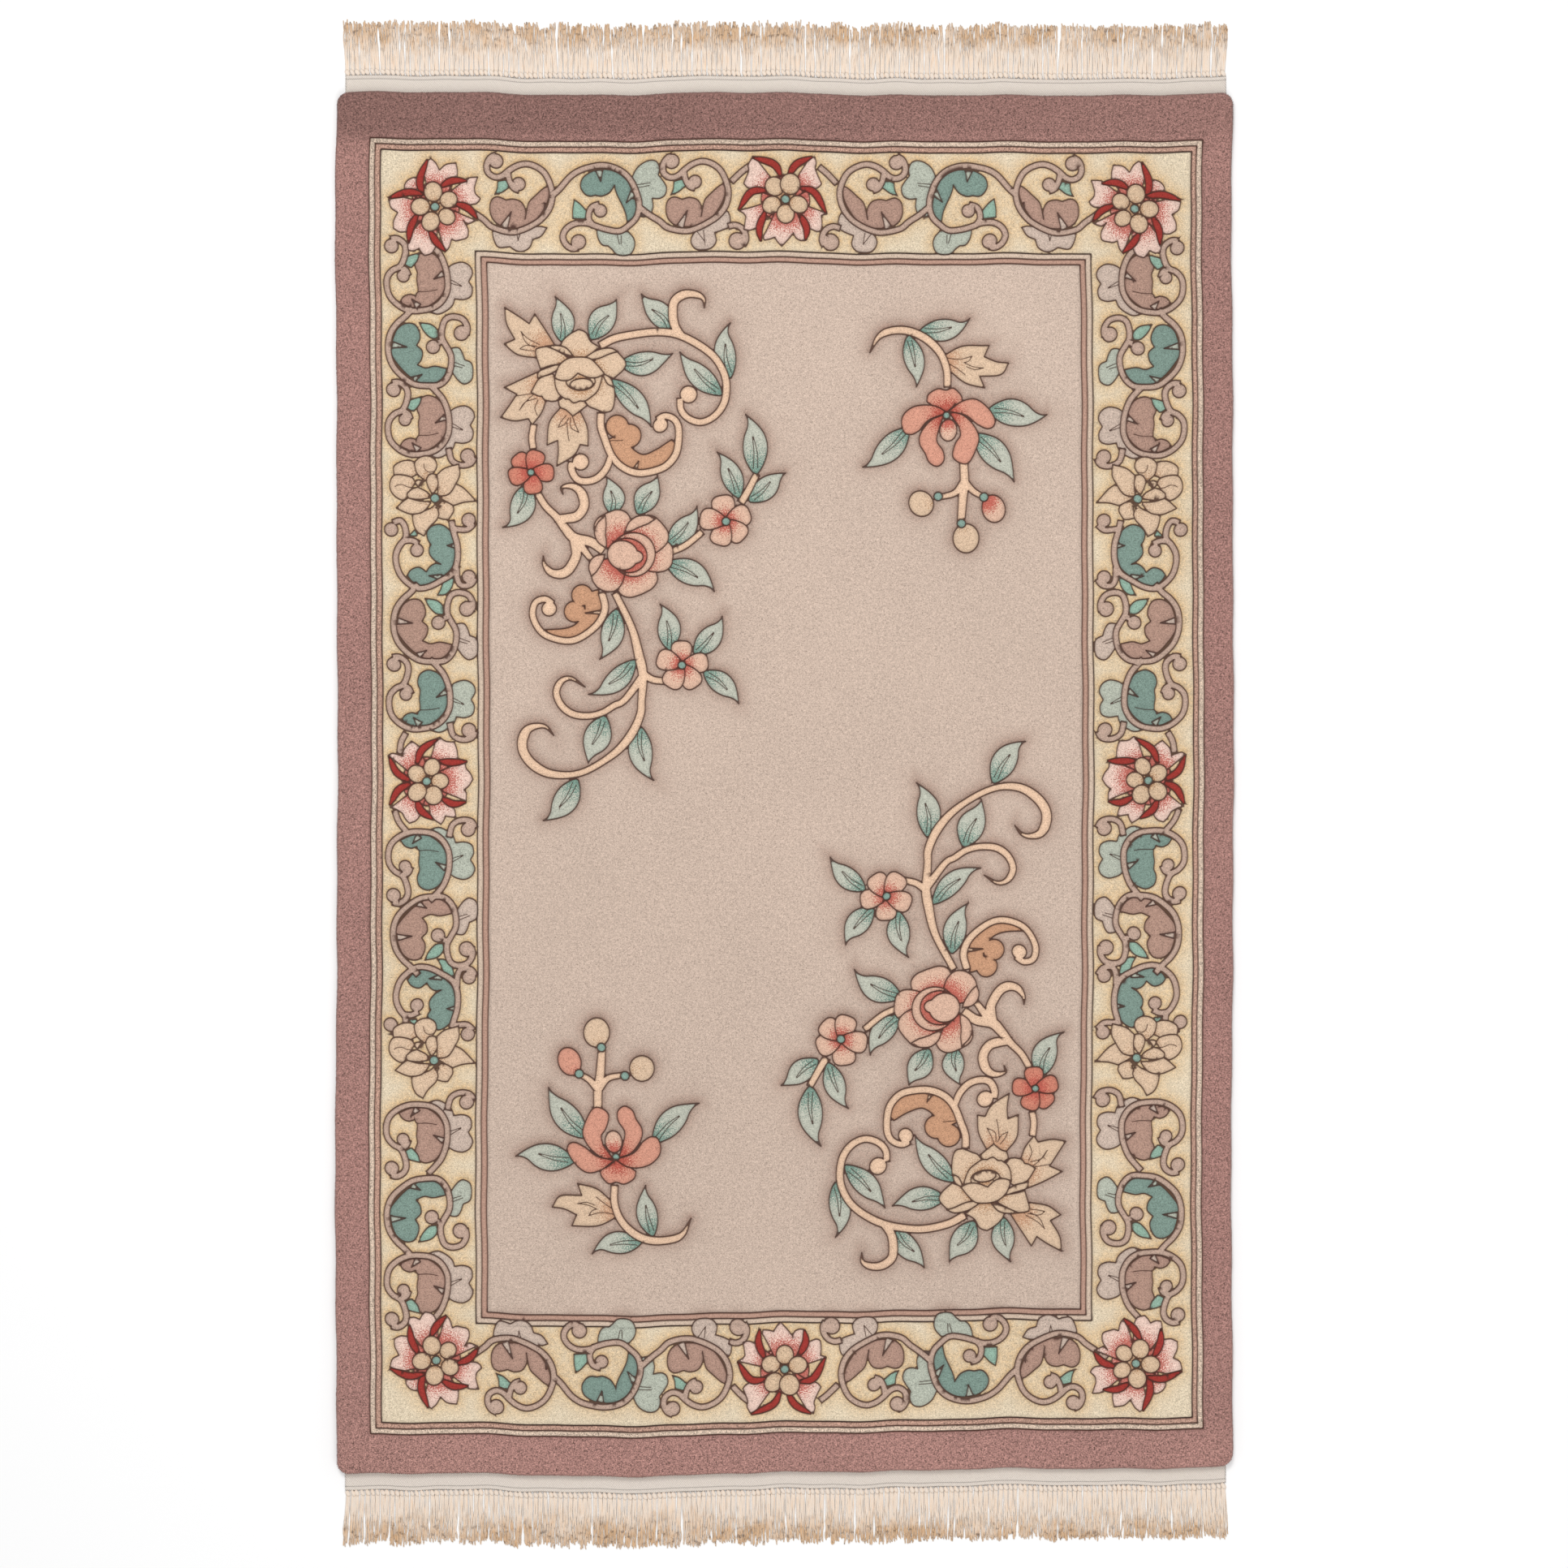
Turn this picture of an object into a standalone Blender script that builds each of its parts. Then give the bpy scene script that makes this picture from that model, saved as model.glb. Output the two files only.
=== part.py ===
"""A hand-knotted wool rug: a carved floral pile, a flat-woven web at each end and its knotted fringe.

Metres, +Z up. The rug lies flat on Z = 0 with X across it and Y along it.
The pattern is laid out on a chart, as a weaver's is: its tables count chart steps from the rug's middle.
"""

import math
from collections import namedtuple

import bmesh
import bpy
import numpy as np
from mathutils.geometry import delaunay_2d_cdt

# Driving sizes, in metres
CHART_STEP = 0.0011
PILE_TOP = 0.015
EDGE_ROUND = 0.0035
CARVE_DEPTH = 0.0035
CARVE_SHOULDER = 0.0042
PIECE_GAP = 0.0003
WEB_THICKNESS = 0.003
WEB_DEPTH = 0.0235
STRAND_REACH = 0.066
STRANDS_PER_END = 100
STRAND_LEAN = 0.0035
STRAND_SWAY = 0.0011

# A warp bundle from its root in the web, over its knot, to its tip: that one's distance is a share of the reach
BundleSection = namedtuple("BundleSection", "distance half_width floor top")
BUNDLE_SECTIONS = (
    BundleSection(-0.003, 0.0022, 0.0008, 0.0024),
    BundleSection(0.0045, 0.0040, 0.0, 0.0050),
    BundleSection(0.0105, 0.0024, 0.0, 0.0030),
    BundleSection(1.0, 0.0036, 0.0, 0.0020),
)

# The pile's outline, in chart steps
PILE_LEFT = -551.5
PILE_RIGHT = 551.5
PILE_LOW = -848.0
PILE_HIGH = 850.0
CORNER_RADIUS = 14.0
WEB_LEFT = -542.5
WEB_RIGHT = 544.5

# Carved lines of the guard stripes: each is a rectangle, in chart steps
Rectangle = namedtuple("Rectangle", "left right low high")
OUTER_GUARD = Rectangle(-510.5, 515.5, -800.0, 793.0)
CREAM_EDGE = Rectangle(-496.5, 502.5, -786.0, 779.0)
INNER_GUARD = Rectangle(-379.0, 379.5, -664.5, 654.5)
FIELD_EDGE = Rectangle(-365.0, 366.0, -650.5, 641.0)
GUARD_SAMPLING = 125.0
SHOULDER_STEPS = CARVE_SHOULDER / CHART_STEP
LOOSE_SPACING = 3.2 * SHOULDER_STEPS
LOBE_SIDES = 6

# The slow waves of a hand-woven line, in chart steps and radians
Wave = namedtuple("Wave", "across height length start")
WAVES = (
    Wave(across=True, height=1.7, length=980.0, start=2.1),
    Wave(across=True, height=0.9, length=410.0, start=0.4),
    Wave(across=False, height=1.5, length=760.0, start=1.2),
    Wave(across=False, height=1.2, length=330.0, start=2.6),
)

# The scroll units of the border run from each corner lotus to the middle ones
BORDER_MIDDLE = 5.5
SIDE_BORDER = -437.8
END_BORDER = 720.0
SIDE_LENGTHENING = 0.86
ScrollPlace = namedtuple("ScrollPlace", "along kind")
END_SCROLLS = (ScrollPlace(-322.0, "inner"), ScrollPlace(-213.0, "outer"), ScrollPlace(-106.0, "inner"))
SIDE_SCROLLS = (
    ScrollPlace(615.0, "inner"),
    ScrollPlace(525.0, "outer"),
    ScrollPlace(440.0, "inner"),
    ScrollPlace(275.0, "inner"),
    ScrollPlace(186.0, "outer"),
    ScrollPlace(91.0, "inner"),
)

# A scroll's leaves are ovals: `along` runs away from the corner and `inward` runs to the field
Lobe = namedtuple("Lobe", "along inward length width turn")
INNER_SCROLL = (
    Lobe(-20.0, 15.0, 52.0, 34.0, 0.0),
    Lobe(20.0, 4.0, 56.0, 20.0, -52.0),
    Lobe(-8.0, 50.0, 52.0, 27.0, 0.0),
)
OUTER_SCROLL = (
    Lobe(-10.0, -20.0, 52.0, 30.0, 0.0),
    Lobe(24.0, 2.0, 56.0, 20.0, 70.0),
    Lobe(52.0, -22.0, 50.0, 28.0, 62.0),
    Lobe(8.0, 54.0, 44.0, 24.0, 8.0),
)

# Flowers are rosettes, in chart steps and degrees; `notch` is how far the gaps between petals cut in
Flower = namedtuple("Flower", "x y radius petals notch turn heart")
LOTUS_PLACES = ((-430.0, 709.5), (1.5, 720.5), (-443.0, 3.0))
LOTUS = Flower(0.0, 0.0, 56.0, 6, 0.27, 8.0, 24.0)
BORDER_PEONY = Flower(-434.0, 354.0, 50.0, 6, 0.24, 20.0, 0.0)
SPRAY_FLOWERS = (
    Flower(-250.0, 507.0, 56.0, 7, 0.2, 15.0, 26.0),
    Flower(-190.0, 287.0, 53.0, 5, 0.14, 30.0, 27.0),
    Flower(-312.0, 385.0, 28.0, 5, 0.28, 18.0, 0.0),
    Flower(-72.0, 321.5, 31.0, 5, 0.28, 40.0, 0.0),
    Flower(-127.0, 146.0, 31.0, 5, 0.28, 54.0, 0.0),
    Flower(200.0, 447.0, 52.0, 5, 0.3, 90.0, 13.0),
    Flower(167.0, 348.0, 18.0, 4, 0.08, 0.0, 0.0),
    Flower(223.0, 303.0, 18.0, 4, 0.08, 20.0, 0.0),
    Flower(256.5, 338.0, 18.0, 4, 0.08, 50.0, 0.0),
)

# Leaves of the field, from where each leaves its stem to its tip, in chart steps
Leaf = namedtuple("Leaf", "base_x base_y tip_x tip_y width")
SPRAY_LEAVES = (
    Leaf(-272.0, 545.0, -281.5, 601.0, 28.0),
    Leaf(-238.0, 549.0, -206.0, 598.0, 31.0),
    Leaf(-137.0, 557.0, -175.0, 605.0, 27.0),
    Leaf(-199.0, 519.0, -137.0, 529.0, 29.0),
    Leaf(-210.0, 497.0, -164.5, 442.0, 27.0),
    Leaf(-78.0, 477.0, -128.0, 531.0, 28.0),
    Leaf(-67.0, 498.0, -66.0, 566.0, 26.0),
    Leaf(-34.5, 380.0, -48.5, 454.0, 30.0),
    Leaf(-56.0, 351.0, -82.5, 406.5, 26.0),
    Leaf(-43.5, 347.0, 1.5, 380.0, 27.0),
    Leaf(-211.5, 333.0, -220.0, 380.0, 27.0),
    Leaf(-181.0, 335.0, -156.0, 380.0, 30.0),
    Leaf(-143.0, 294.0, -108.0, 341.0, 28.0),
    Leaf(-145.0, 272.0, -87.0, 235.0, 30.0),
    Leaf(-316.0, 371.0, -347.0, 315.0, 30.0),
    Leaf(-207.0, 217.0, -228.0, 155.0, 28.0),
    Leaf(-141.0, 165.0, -154.0, 222.0, 28.0),
    Leaf(-111.0, 158.0, -77.0, 205.0, 28.0),
    Leaf(-100.0, 137.0, -57.5, 97.5, 26.0),
    Leaf(-186.0, 153.0, -243.0, 112.0, 24.0),
    Leaf(-222.0, 85.0, -243.0, 27.5, 34.0),
    Leaf(-180.0, 74.0, -162.5, 6.0, 29.0),
    Leaf(-257.0, 7.5, -297.7, -43.7, 30.0),
    Leaf(-292.0, 537.0, -344.0, 584.0, 46.0),
    Leaf(-296.0, 484.0, -349.0, 452.0, 46.0),
    Leaf(-265.0, 460.0, -278.0, 394.0, 48.0),
    Leaf(169.0, 558.0, 228.0, 575.0, 27.0),
    Leaf(152.5, 553.0, 161.5, 490.0, 25.0),
    Leaf(197.0, 528.0, 275.0, 517.0, 46.0),
    Leaf(256.0, 461.0, 322.0, 456.0, 33.0),
    Leaf(147.0, 435.0, 96.0, 392.0, 30.0),
    Leaf(236.0, 427.0, 282.0, 371.0, 32.0),
    Leaf(-166.0, 418.0, -208.0, 436.0, 34.0),
    Leaf(-180.0, 405.0, -128.0, 410.0, 24.0),
    Leaf(-235.0, 205.0, -258.0, 245.0, 34.0),
    Leaf(-230.0, 200.0, -294.0, 189.0, 24.0),
)

# Stems of the field: points along each, in chart steps, and its width
Stem = namedtuple("Stem", "width points")
SPRAY_STEMS = (
    Stem(10.0, ((-226.0, 540.0), (-168.0, 557.0), (-107.0, 541.0), (-72.0, 495.0), (-88.0, 449.0), (-122.0, 450.0))),
    Stem(10.0, ((-126.0, 548.0), (-137.0, 578.0), (-120.0, 601.0), (-99.0, 592.0))),
    Stem(9.0, ((-225.0, 456.0), (-214.0, 407.0), (-175.0, 385.0), (-137.0, 400.0), (-131.0, 436.0), (-152.0, 450.0))),
    Stem(9.0, ((-216.0, 398.0), (-240.0, 374.0), (-262.0, 392.0))),
    Stem(11.0, ((-305.0, 362.0), (-281.0, 330.0), (-258.0, 304.0), (-232.0, 294.0))),
    Stem(12.0, ((-281.0, 328.0), (-250.0, 336.0), (-252.0, 363.0), (-274.0, 364.0))),
    Stem(12.0, ((-258.0, 300.0), (-260.0, 270.0), (-285.0, 261.0), (-297.0, 278.0))),
    Stem(10.0, ((-209.0, 237.0), (-181.0, 165.0), (-179.0, 88.0), (-222.0, 31.0), (-290.0, 14.0), (-323.0, 48.0))),
    Stem(8.0, ((-178.0, 132.0), (-215.0, 95.0), (-262.0, 88.0), (-282.0, 115.0), (-255.0, 127.0))),
    Stem(8.0, ((-225.0, 237.0), (-235.0, 193.0), (-272.0, 176.0), (-308.0, 205.0), (-294.0, 229.0))),
    Stem(9.0, ((199.0, 490.0), (184.0, 541.0), (143.0, 559.0), (106.0, 536.0))),
    Stem(9.0, ((220.0, 396.0), (218.0, 358.0), (216.0, 324.0))),
    Stem(7.0, ((218.0, 370.0), (190.0, 353.0))),
    Stem(7.0, ((221.0, 370.0), (244.0, 353.0))),
)

# The two sprays are repeated by half a turn about this point
SPRAY_CENTRE_X = 0.5
SPRAY_CENTRE_Y = 6.5

# The border is mirrored about its own middles
END_MIDDLE_X = 1.0
END_MIDDLE_Y = -2.0
SIDE_MIDDLE_X = 1.6

PILE_COLOUR = (0.40, 0.24, 0.22, 1.0)
COTTON_COLOUR = (0.74, 0.66, 0.58, 1.0)
WOOL_ROUGHNESS = 0.95


def clear_scene():
    for thing in list(bpy.data.objects):
        bpy.data.objects.remove(thing, do_unlink=True)


def new_collection(name):
    collection = bpy.data.collections.new(name)
    bpy.context.scene.collection.children.link(collection)
    return collection


def yarn_material(name, colour):
    material = bpy.data.materials.new(name)
    material.use_nodes = True
    shader = material.node_tree.nodes["Principled BSDF"]
    shader.inputs["Base Color"].default_value = colour
    shader.inputs["Roughness"].default_value = WOOL_ROUGHNESS
    shader.inputs["Metallic"].default_value = 0.0
    return material


def new_object(name, mesh, collection, material):
    thing = bpy.data.objects.new(name, mesh)
    thing.data.materials.append(material)
    collection.objects.link(thing)
    return thing


def woven(x, y):
    """A chart point where the weaving really put it, since no hand-woven line is quite straight."""
    moved_x = x
    moved_y = y
    for wave in WAVES:
        if wave.across:
            moved_x += wave.height * math.sin(2 * math.pi * y / wave.length + wave.start)
        else:
            moved_y += wave.height * math.sin(2 * math.pi * x / wave.length + wave.start)
    return moved_x, moved_y


def between(start, end, spacing):
    """Evenly spaced values from start up to, but not reaching, end."""
    count = max(1, round(abs(end - start) / spacing))
    return [start + (end - start) * index / count for index in range(count)]


def rectangle_line(rectangle, outset):
    """One carved line round the rug, this many steps outside its rectangle."""
    left = rectangle.left - outset
    right = rectangle.right + outset
    low = rectangle.low - outset
    high = rectangle.high + outset
    line = [(x, low) for x in between(left, right, GUARD_SAMPLING)]
    line += [(right, y) for y in between(low, high, GUARD_SAMPLING)]
    line += [(x, high) for x in between(right, left, GUARD_SAMPLING)]
    line += [(left, y) for y in between(high, low, GUARD_SAMPLING)]
    return [woven(x, y) for x, y in line]


def pile_outline(inset):
    """The rug's rounded rectangle, this many steps in from its edge."""
    core = Rectangle(
        PILE_LEFT + CORNER_RADIUS,
        PILE_RIGHT - CORNER_RADIUS,
        PILE_LOW + CORNER_RADIUS,
        PILE_HIGH - CORNER_RADIUS,
    )
    radius = CORNER_RADIUS - inset
    corners = ((core.right, core.high), (core.left, core.high), (core.left, core.low), (core.right, core.low))
    line = []
    for index, (corner_x, corner_y) in enumerate(corners):
        for part in range(3):
            angle = math.radians(90 * index + 30 * part)
            line.append((corner_x + radius * math.cos(angle), corner_y + radius * math.sin(angle)))
        angle = math.radians(90 * (index + 1))
        line.append((corner_x + radius * math.cos(angle), corner_y + radius * math.sin(angle)))
        next_x, next_y = corners[(index + 1) % 4]
        if next_y == corner_y:
            line += [(x, line[-1][1]) for x in between(corner_x, next_x, GUARD_SAMPLING)[1:]]
        else:
            line += [(line[-1][0], y) for y in between(corner_y, next_y, GUARD_SAMPLING)[1:]]
    return [woven(x, y) for x, y in line]


def outward(x, y):
    """The direction that leaves the rug at this point of its edge."""
    nearest_x = min(max(x, PILE_LEFT + CORNER_RADIUS), PILE_RIGHT - CORNER_RADIUS)
    nearest_y = min(max(y, PILE_LOW + CORNER_RADIUS), PILE_HIGH - CORNER_RADIUS)
    away = np.array((x - nearest_x, y - nearest_y))
    return away / np.linalg.norm(away)


def oval(x, y, length, width, turn, sides):
    turn = math.radians(turn)
    points = []
    for index in range(sides):
        angle = 2 * math.pi * index / sides
        along = length / 2 * math.cos(angle)
        beside = width / 2 * math.sin(angle)
        points.append(
            (
                x + along * math.cos(turn) - beside * math.sin(turn),
                y + along * math.sin(turn) + beside * math.cos(turn),
            )
        )
    return points


def rosette(flower):
    """A flower's outline: the two corners of each petal and the notch after it."""
    points = []
    for petal in range(flower.petals):
        for share, reach in ((-0.2, 1.0), (0.2, 1.0), (0.5, 1.0 - flower.notch)):
            angle = math.radians(flower.turn) + 2 * math.pi * (petal + share) / flower.petals
            reach *= flower.radius
            points.append((flower.x + reach * math.cos(angle), flower.y + reach * math.sin(angle)))
    return points


def leaf_outline(leaf):
    base = np.array((leaf.base_x, leaf.base_y))
    tip = np.array((leaf.tip_x, leaf.tip_y))
    run = tip - base
    side = np.array((-run[1], run[0])) / np.linalg.norm(run) * leaf.width / 2
    shape = ((0.0, 0.25), (0.3, 0.95), (0.62, 0.8), (1.0, 0.0), (0.62, -0.8), (0.3, -0.95), (0.0, -0.25))
    return [tuple(base + run * share + side * beside) for share, beside in shape]


def stem_outline(stem):
    """A band of even width along the stem's points."""
    points = [np.array(point) for point in stem.points]
    left_side = []
    right_side = []
    for index, point in enumerate(points):
        run = points[min(index + 1, len(points) - 1)] - points[max(index - 1, 0)]
        side = np.array((-run[1], run[0])) / np.linalg.norm(run) * stem.width / 2
        left_side.append(tuple(point + side))
        right_side.append(tuple(point - side))
    return left_side + right_side[::-1]


def half_turn(outline):
    return [(2 * SPRAY_CENTRE_X - x, 2 * SPRAY_CENTRE_Y - y) for x, y in outline]


def sprays():
    """The field's two sprays and their copies, turned by half a turn."""
    outlines = [leaf_outline(leaf) for leaf in SPRAY_LEAVES]
    outlines += [stem_outline(stem) for stem in SPRAY_STEMS]
    for flower in SPRAY_FLOWERS:
        outlines.append(rosette(flower))
        if flower.heart:
            outlines.append(oval(flower.x, flower.y, 2 * flower.heart, 1.7 * flower.heart, flower.turn, LOBE_SIDES))
    return outlines + [half_turn(outline) for outline in outlines]


def scroll_at(place, on_end):
    """The leaves of one scroll unit, in the rug's upper left quarter."""
    lobes = INNER_SCROLL if place.kind == "inner" else OUTER_SCROLL
    outlines = []
    for lobe in lobes:
        drawn = oval(lobe.along, lobe.inward, lobe.length, lobe.width, lobe.turn, LOBE_SIDES)
        if on_end:
            outlines.append([(place.along + along, END_BORDER - inward) for along, inward in drawn])
        else:
            outlines.append(
                [
                    (SIDE_BORDER + inward * 0.95, place.along - along * SIDE_LENGTHENING)
                    for along, inward in drawn
                ]
            )
    return outlines


def border_flower(flower, x, y):
    placed = flower._replace(x=x, y=y)
    outlines = [rosette(placed)]
    if flower.heart:
        outlines.append(rosette(placed._replace(radius=flower.heart, petals=5, notch=0.2)))
    return outlines


def mirrored(outlines, about_x, about_y):
    """The outlines with their mirror images, left to right, top to bottom, or both."""
    result = list(outlines)
    if about_x is not None:
        result += [[(2 * about_x - x, y) for x, y in outline] for outline in result]
    if about_y is not None:
        result += [[(x, 2 * about_y - y) for x, y in outline] for outline in result]
    return result


def border():
    """Scroll leaves and flowers of the border, mirrored from its upper left quarter."""
    quarter = []
    for place in END_SCROLLS:
        quarter += scroll_at(place, True)
    ends = mirrored(quarter, END_MIDDLE_X, END_MIDDLE_Y)
    quarter = []
    for place in SIDE_SCROLLS:
        quarter += scroll_at(place, False)
    quarter += border_flower(BORDER_PEONY, BORDER_PEONY.x, BORDER_PEONY.y)
    sides = mirrored(quarter, SIDE_MIDDLE_X, BORDER_MIDDLE)
    corner, top_middle, side_lotus = LOTUS_PLACES
    flowers = mirrored(border_flower(LOTUS, *corner), SIDE_MIDDLE_X, 0.0)
    flowers += mirrored(border_flower(LOTUS, *top_middle), None, END_MIDDLE_Y)
    flowers += mirrored(border_flower(LOTUS, *side_lotus), SIDE_MIDDLE_X, None)
    return ends + sides + flowers


def guard_lines():
    """The carved edges of the guard stripes, in chart steps."""
    return [rectangle_line(edge, 0.0) for edge in (OUTER_GUARD, CREAM_EDGE, INNER_GUARD, FIELD_EDGE)]


def motif_lines():
    """The closed lines that the carver's shears follow round the flowers and leaves, in chart steps."""
    return [[woven(x, y) for x, y in outline] for outline in border() + sprays()]


def flanks(line):
    """The two lines that run a shoulder's width outside and inside a closed line."""
    points = np.array(line)
    run = np.roll(points, -1, axis=0) - np.roll(points, 1, axis=0)
    side = np.stack((run[:, 1], -run[:, 0]), axis=1) / np.linalg.norm(run, axis=1)[:, None]
    return [points + side * SHOULDER_STEPS, points - side * SHOULDER_STEPS]


def distance_to_lines(points, starts, ends):
    """How far each point is from the nearest carved line."""
    nearest = np.full(len(points), np.inf)
    for start, end in zip(starts, ends):
        run = end - start
        share = np.clip(((points - start) @ run) / (run @ run), 0.0, 1.0)
        nearest = np.minimum(nearest, np.linalg.norm(points - start - share[:, None] * run, axis=1))
    return nearest


def spaced(points, least):
    """The points that keep this distance from all those kept before them."""
    kept = []
    cells = {}
    for point in points:
        cell = (int(point[0] // least), int(point[1] // least))
        near = [
            other
            for step_x in (-1, 0, 1)
            for step_y in (-1, 0, 1)
            for other in cells.get((cell[0] + step_x, cell[1] + step_y), [])
        ]
        if all(math.dist(point, other) >= least for other in near):
            cells.setdefault(cell, []).append(tuple(point))
            kept.append(tuple(point))
    return kept


def carved_top():
    """The pile's carved upper face: the carved lines lie deep and the points beside them stay high."""
    rim = pile_outline(EDGE_ROUND / CHART_STEP)
    guards = guard_lines()
    motifs = motif_lines()
    lines = guards + motifs
    starts = np.concatenate([np.array(line) for line in lines])
    ends = np.concatenate([np.roll(np.array(line), -1, axis=0) for line in lines])
    loose = np.concatenate([flank for line in motifs for flank in flanks(line)])
    loose = loose[distance_to_lines(loose, starts, ends) > 0.8 * SHOULDER_STEPS]
    points = []
    edges = []
    for line in [rim] + lines + [flank for line in guards for flank in flanks(line)]:
        first = len(points)
        points += [tuple(point) for point in line]
        edges += [(first + index, first + (index + 1) % len(line)) for index in range(len(line))]
    points += spaced(loose, LOOSE_SPACING)
    rim_face = [list(range(len(rim)))]
    flat_points, _, faces, _, _, sources = delaunay_2d_cdt(points, edges, rim_face, 0, 1e-4, True)
    faces = [face for face, source in zip(faces, sources) if source]
    flat = np.array([tuple(point) for point in flat_points])
    depth = np.clip(1.0 - distance_to_lines(flat, starts, ends) / SHOULDER_STEPS, 0.0, 1.0) * CARVE_DEPTH
    return [(x * CHART_STEP, y * CHART_STEP, PILE_TOP - cut) for (x, y), cut in zip(flat, depth)], faces


def make_pile(collection, material):
    """The knotted pile on its foundation: carved on top, rounded along its edge and flat underneath."""
    points, faces = carved_top()
    mesh = bpy.data.meshes.new("rug_pile")
    mesh.from_pydata(points, [], faces)
    shape = bmesh.new()
    shape.from_mesh(mesh)
    bmesh.ops.recalc_face_normals(shape, faces=shape.faces)
    if sum(face.normal.z for face in shape.faces) < 0:
        bmesh.ops.reverse_faces(shape, faces=shape.faces)
    for height, step in ((PILE_TOP - EDGE_ROUND, EDGE_ROUND), (0.0, 0.0)):
        rim = [edge for edge in shape.edges if edge.is_boundary]
        made = bmesh.ops.extrude_edge_only(shape, edges=rim)
        for vert in [item for item in made["geom"] if isinstance(item, bmesh.types.BMVert)]:
            direction = outward(vert.co.x / CHART_STEP, vert.co.y / CHART_STEP)
            vert.co.x += direction[0] * step
            vert.co.y += direction[1] * step
            vert.co.z = height
    rim = [edge for edge in shape.edges if edge.is_boundary]
    bmesh.ops.contextual_create(shape, geom=rim)
    bmesh.ops.recalc_face_normals(shape, faces=shape.faces)
    bmesh.ops.triangulate(shape, faces=shape.faces)
    shape.to_mesh(mesh)
    shape.free()
    return new_object("rug_pile", mesh, collection, material)


def end_line(top):
    """The pile's end, from left to right in metres, through the same points as the pile's own outline."""
    edge = PILE_HIGH if top else PILE_LOW
    first = PILE_LEFT + CORNER_RADIUS
    last = PILE_RIGHT - CORNER_RADIUS
    stations = [WEB_LEFT] + between(first, last, GUARD_SAMPLING) + [last, WEB_RIGHT]
    return np.array([woven(x, edge) for x in stations]) * CHART_STEP


def make_web_strip(top, collection, material):
    """The flat-woven web that finishes one end, as a thin strip beside the pile."""
    side = 1 if top else -1
    inner = [(x, y + side * PIECE_GAP) for x, y in end_line(top)]
    outer = [(x, y + side * WEB_DEPTH) for x, y in end_line(top)]
    shape = bmesh.new()
    floor = [shape.verts.new((x, y, 0.0)) for x, y in inner + outer[::-1]]
    face = shape.faces.new(floor)
    raised = bmesh.ops.extrude_face_region(shape, geom=[face])
    for item in raised["geom"]:
        if isinstance(item, bmesh.types.BMVert):
            item.co.z = WEB_THICKNESS
    bmesh.ops.recalc_face_normals(shape, faces=shape.faces)
    name = "end_web_top" if top else "end_web_low"
    mesh = bpy.data.meshes.new(name)
    shape.to_mesh(mesh)
    shape.free()
    return new_object(name, mesh, collection, material)


def strand_sections(index, top):
    """The cross-sections of one warp bundle, from its root in the web to its tip on the floor."""
    side = 1 if top else -1
    share = (index + 0.5) / STRANDS_PER_END
    line = end_line(top)
    x = line[0][0] + (line[-1][0] - line[0][0]) * share
    edge = np.interp(x, line[:, 0], line[:, 1]) + side * WEB_DEPTH
    swing = math.sin(index * 1.7 + side) * STRAND_SWAY
    lean = STRAND_LEAN * (2 * share - 1) ** 3 + swing
    reach = STRAND_REACH * (1 + 0.05 * math.sin(index * 2.3 + 2 * side))
    placed = []
    for section in BUNDLE_SECTIONS:
        distance = section.distance * reach if section is BUNDLE_SECTIONS[-1] else section.distance
        middle = x + lean * max(distance, 0.0) / reach
        placed.append((middle, edge + side * distance, section.half_width, section.floor, section.top))
    return placed


def make_strands(top, collection, material):
    """All the warp bundles of one end, three-sided, each flat side down on the floor."""
    shape = bmesh.new()
    for index in range(STRANDS_PER_END):
        rings = []
        for middle, y, half_width, floor, top_height in strand_sections(index, top):
            corners = ((middle - half_width, floor), (middle + half_width, floor), (middle, top_height))
            rings.append([shape.verts.new((x, y, z)) for x, z in corners])
        for near, far in zip(rings, rings[1:]):
            for corner in range(3):
                after = (corner + 1) % 3
                shape.faces.new((near[corner], near[after], far[after], far[corner]))
        shape.faces.new(rings[0])
        shape.faces.new(rings[-1])
    bmesh.ops.recalc_face_normals(shape, faces=shape.faces)
    name = "strands_top" if top else "strands_low"
    mesh = bpy.data.meshes.new(name)
    shape.to_mesh(mesh)
    shape.free()
    strands = new_object(name, mesh, collection, material)
    strands.hide_render = True
    strands.display_type = "WIRE"
    return strands


def make_fringed_end(top, parts, helpers, material):
    """One end's web with its fringe, joined at the strands' roots."""
    web = make_web_strip(top, parts, material)
    union = web.modifiers.new("fringe", "BOOLEAN")
    union.operation = "UNION"
    union.solver = "EXACT"
    union.object = make_strands(top, helpers, material)
    return web


def main():
    clear_scene()
    parts = new_collection("hand_knotted_rug")
    helpers = new_collection("fringe_strands")
    wool = yarn_material("carved_wool_pile", PILE_COLOUR)
    cotton = yarn_material("undyed_cotton_warp", COTTON_COLOUR)
    make_pile(parts, wool)
    make_fringed_end(True, parts, helpers, cotton)
    make_fringed_end(False, parts, helpers, cotton)


main()
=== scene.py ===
"""Looks of a hand-knotted wool rug: carved floral pile, woven cotton ends and knotted fringe.

Metres, +Z up. The rug lies flat on Z = 0, with X across it and Y along it.
Its pattern is a weaver's chart: tables count chart steps from the rug's middle.
Motifs are discs, petals, leaves and bands, placed and sized one by one, and closed outlines
through points that were read off the photograph and rounded to whole or half steps.
"""

import math
from collections import namedtuple

import bpy
import numpy as np
from bpy.props import FloatProperty, FloatVectorProperty, IntProperty, PointerProperty
from bpy.types import Operator, Panel, PropertyGroup
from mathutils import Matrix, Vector
from mathutils.geometry import delaunay_2d_cdt
from mathutils.kdtree import KDTree


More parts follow.
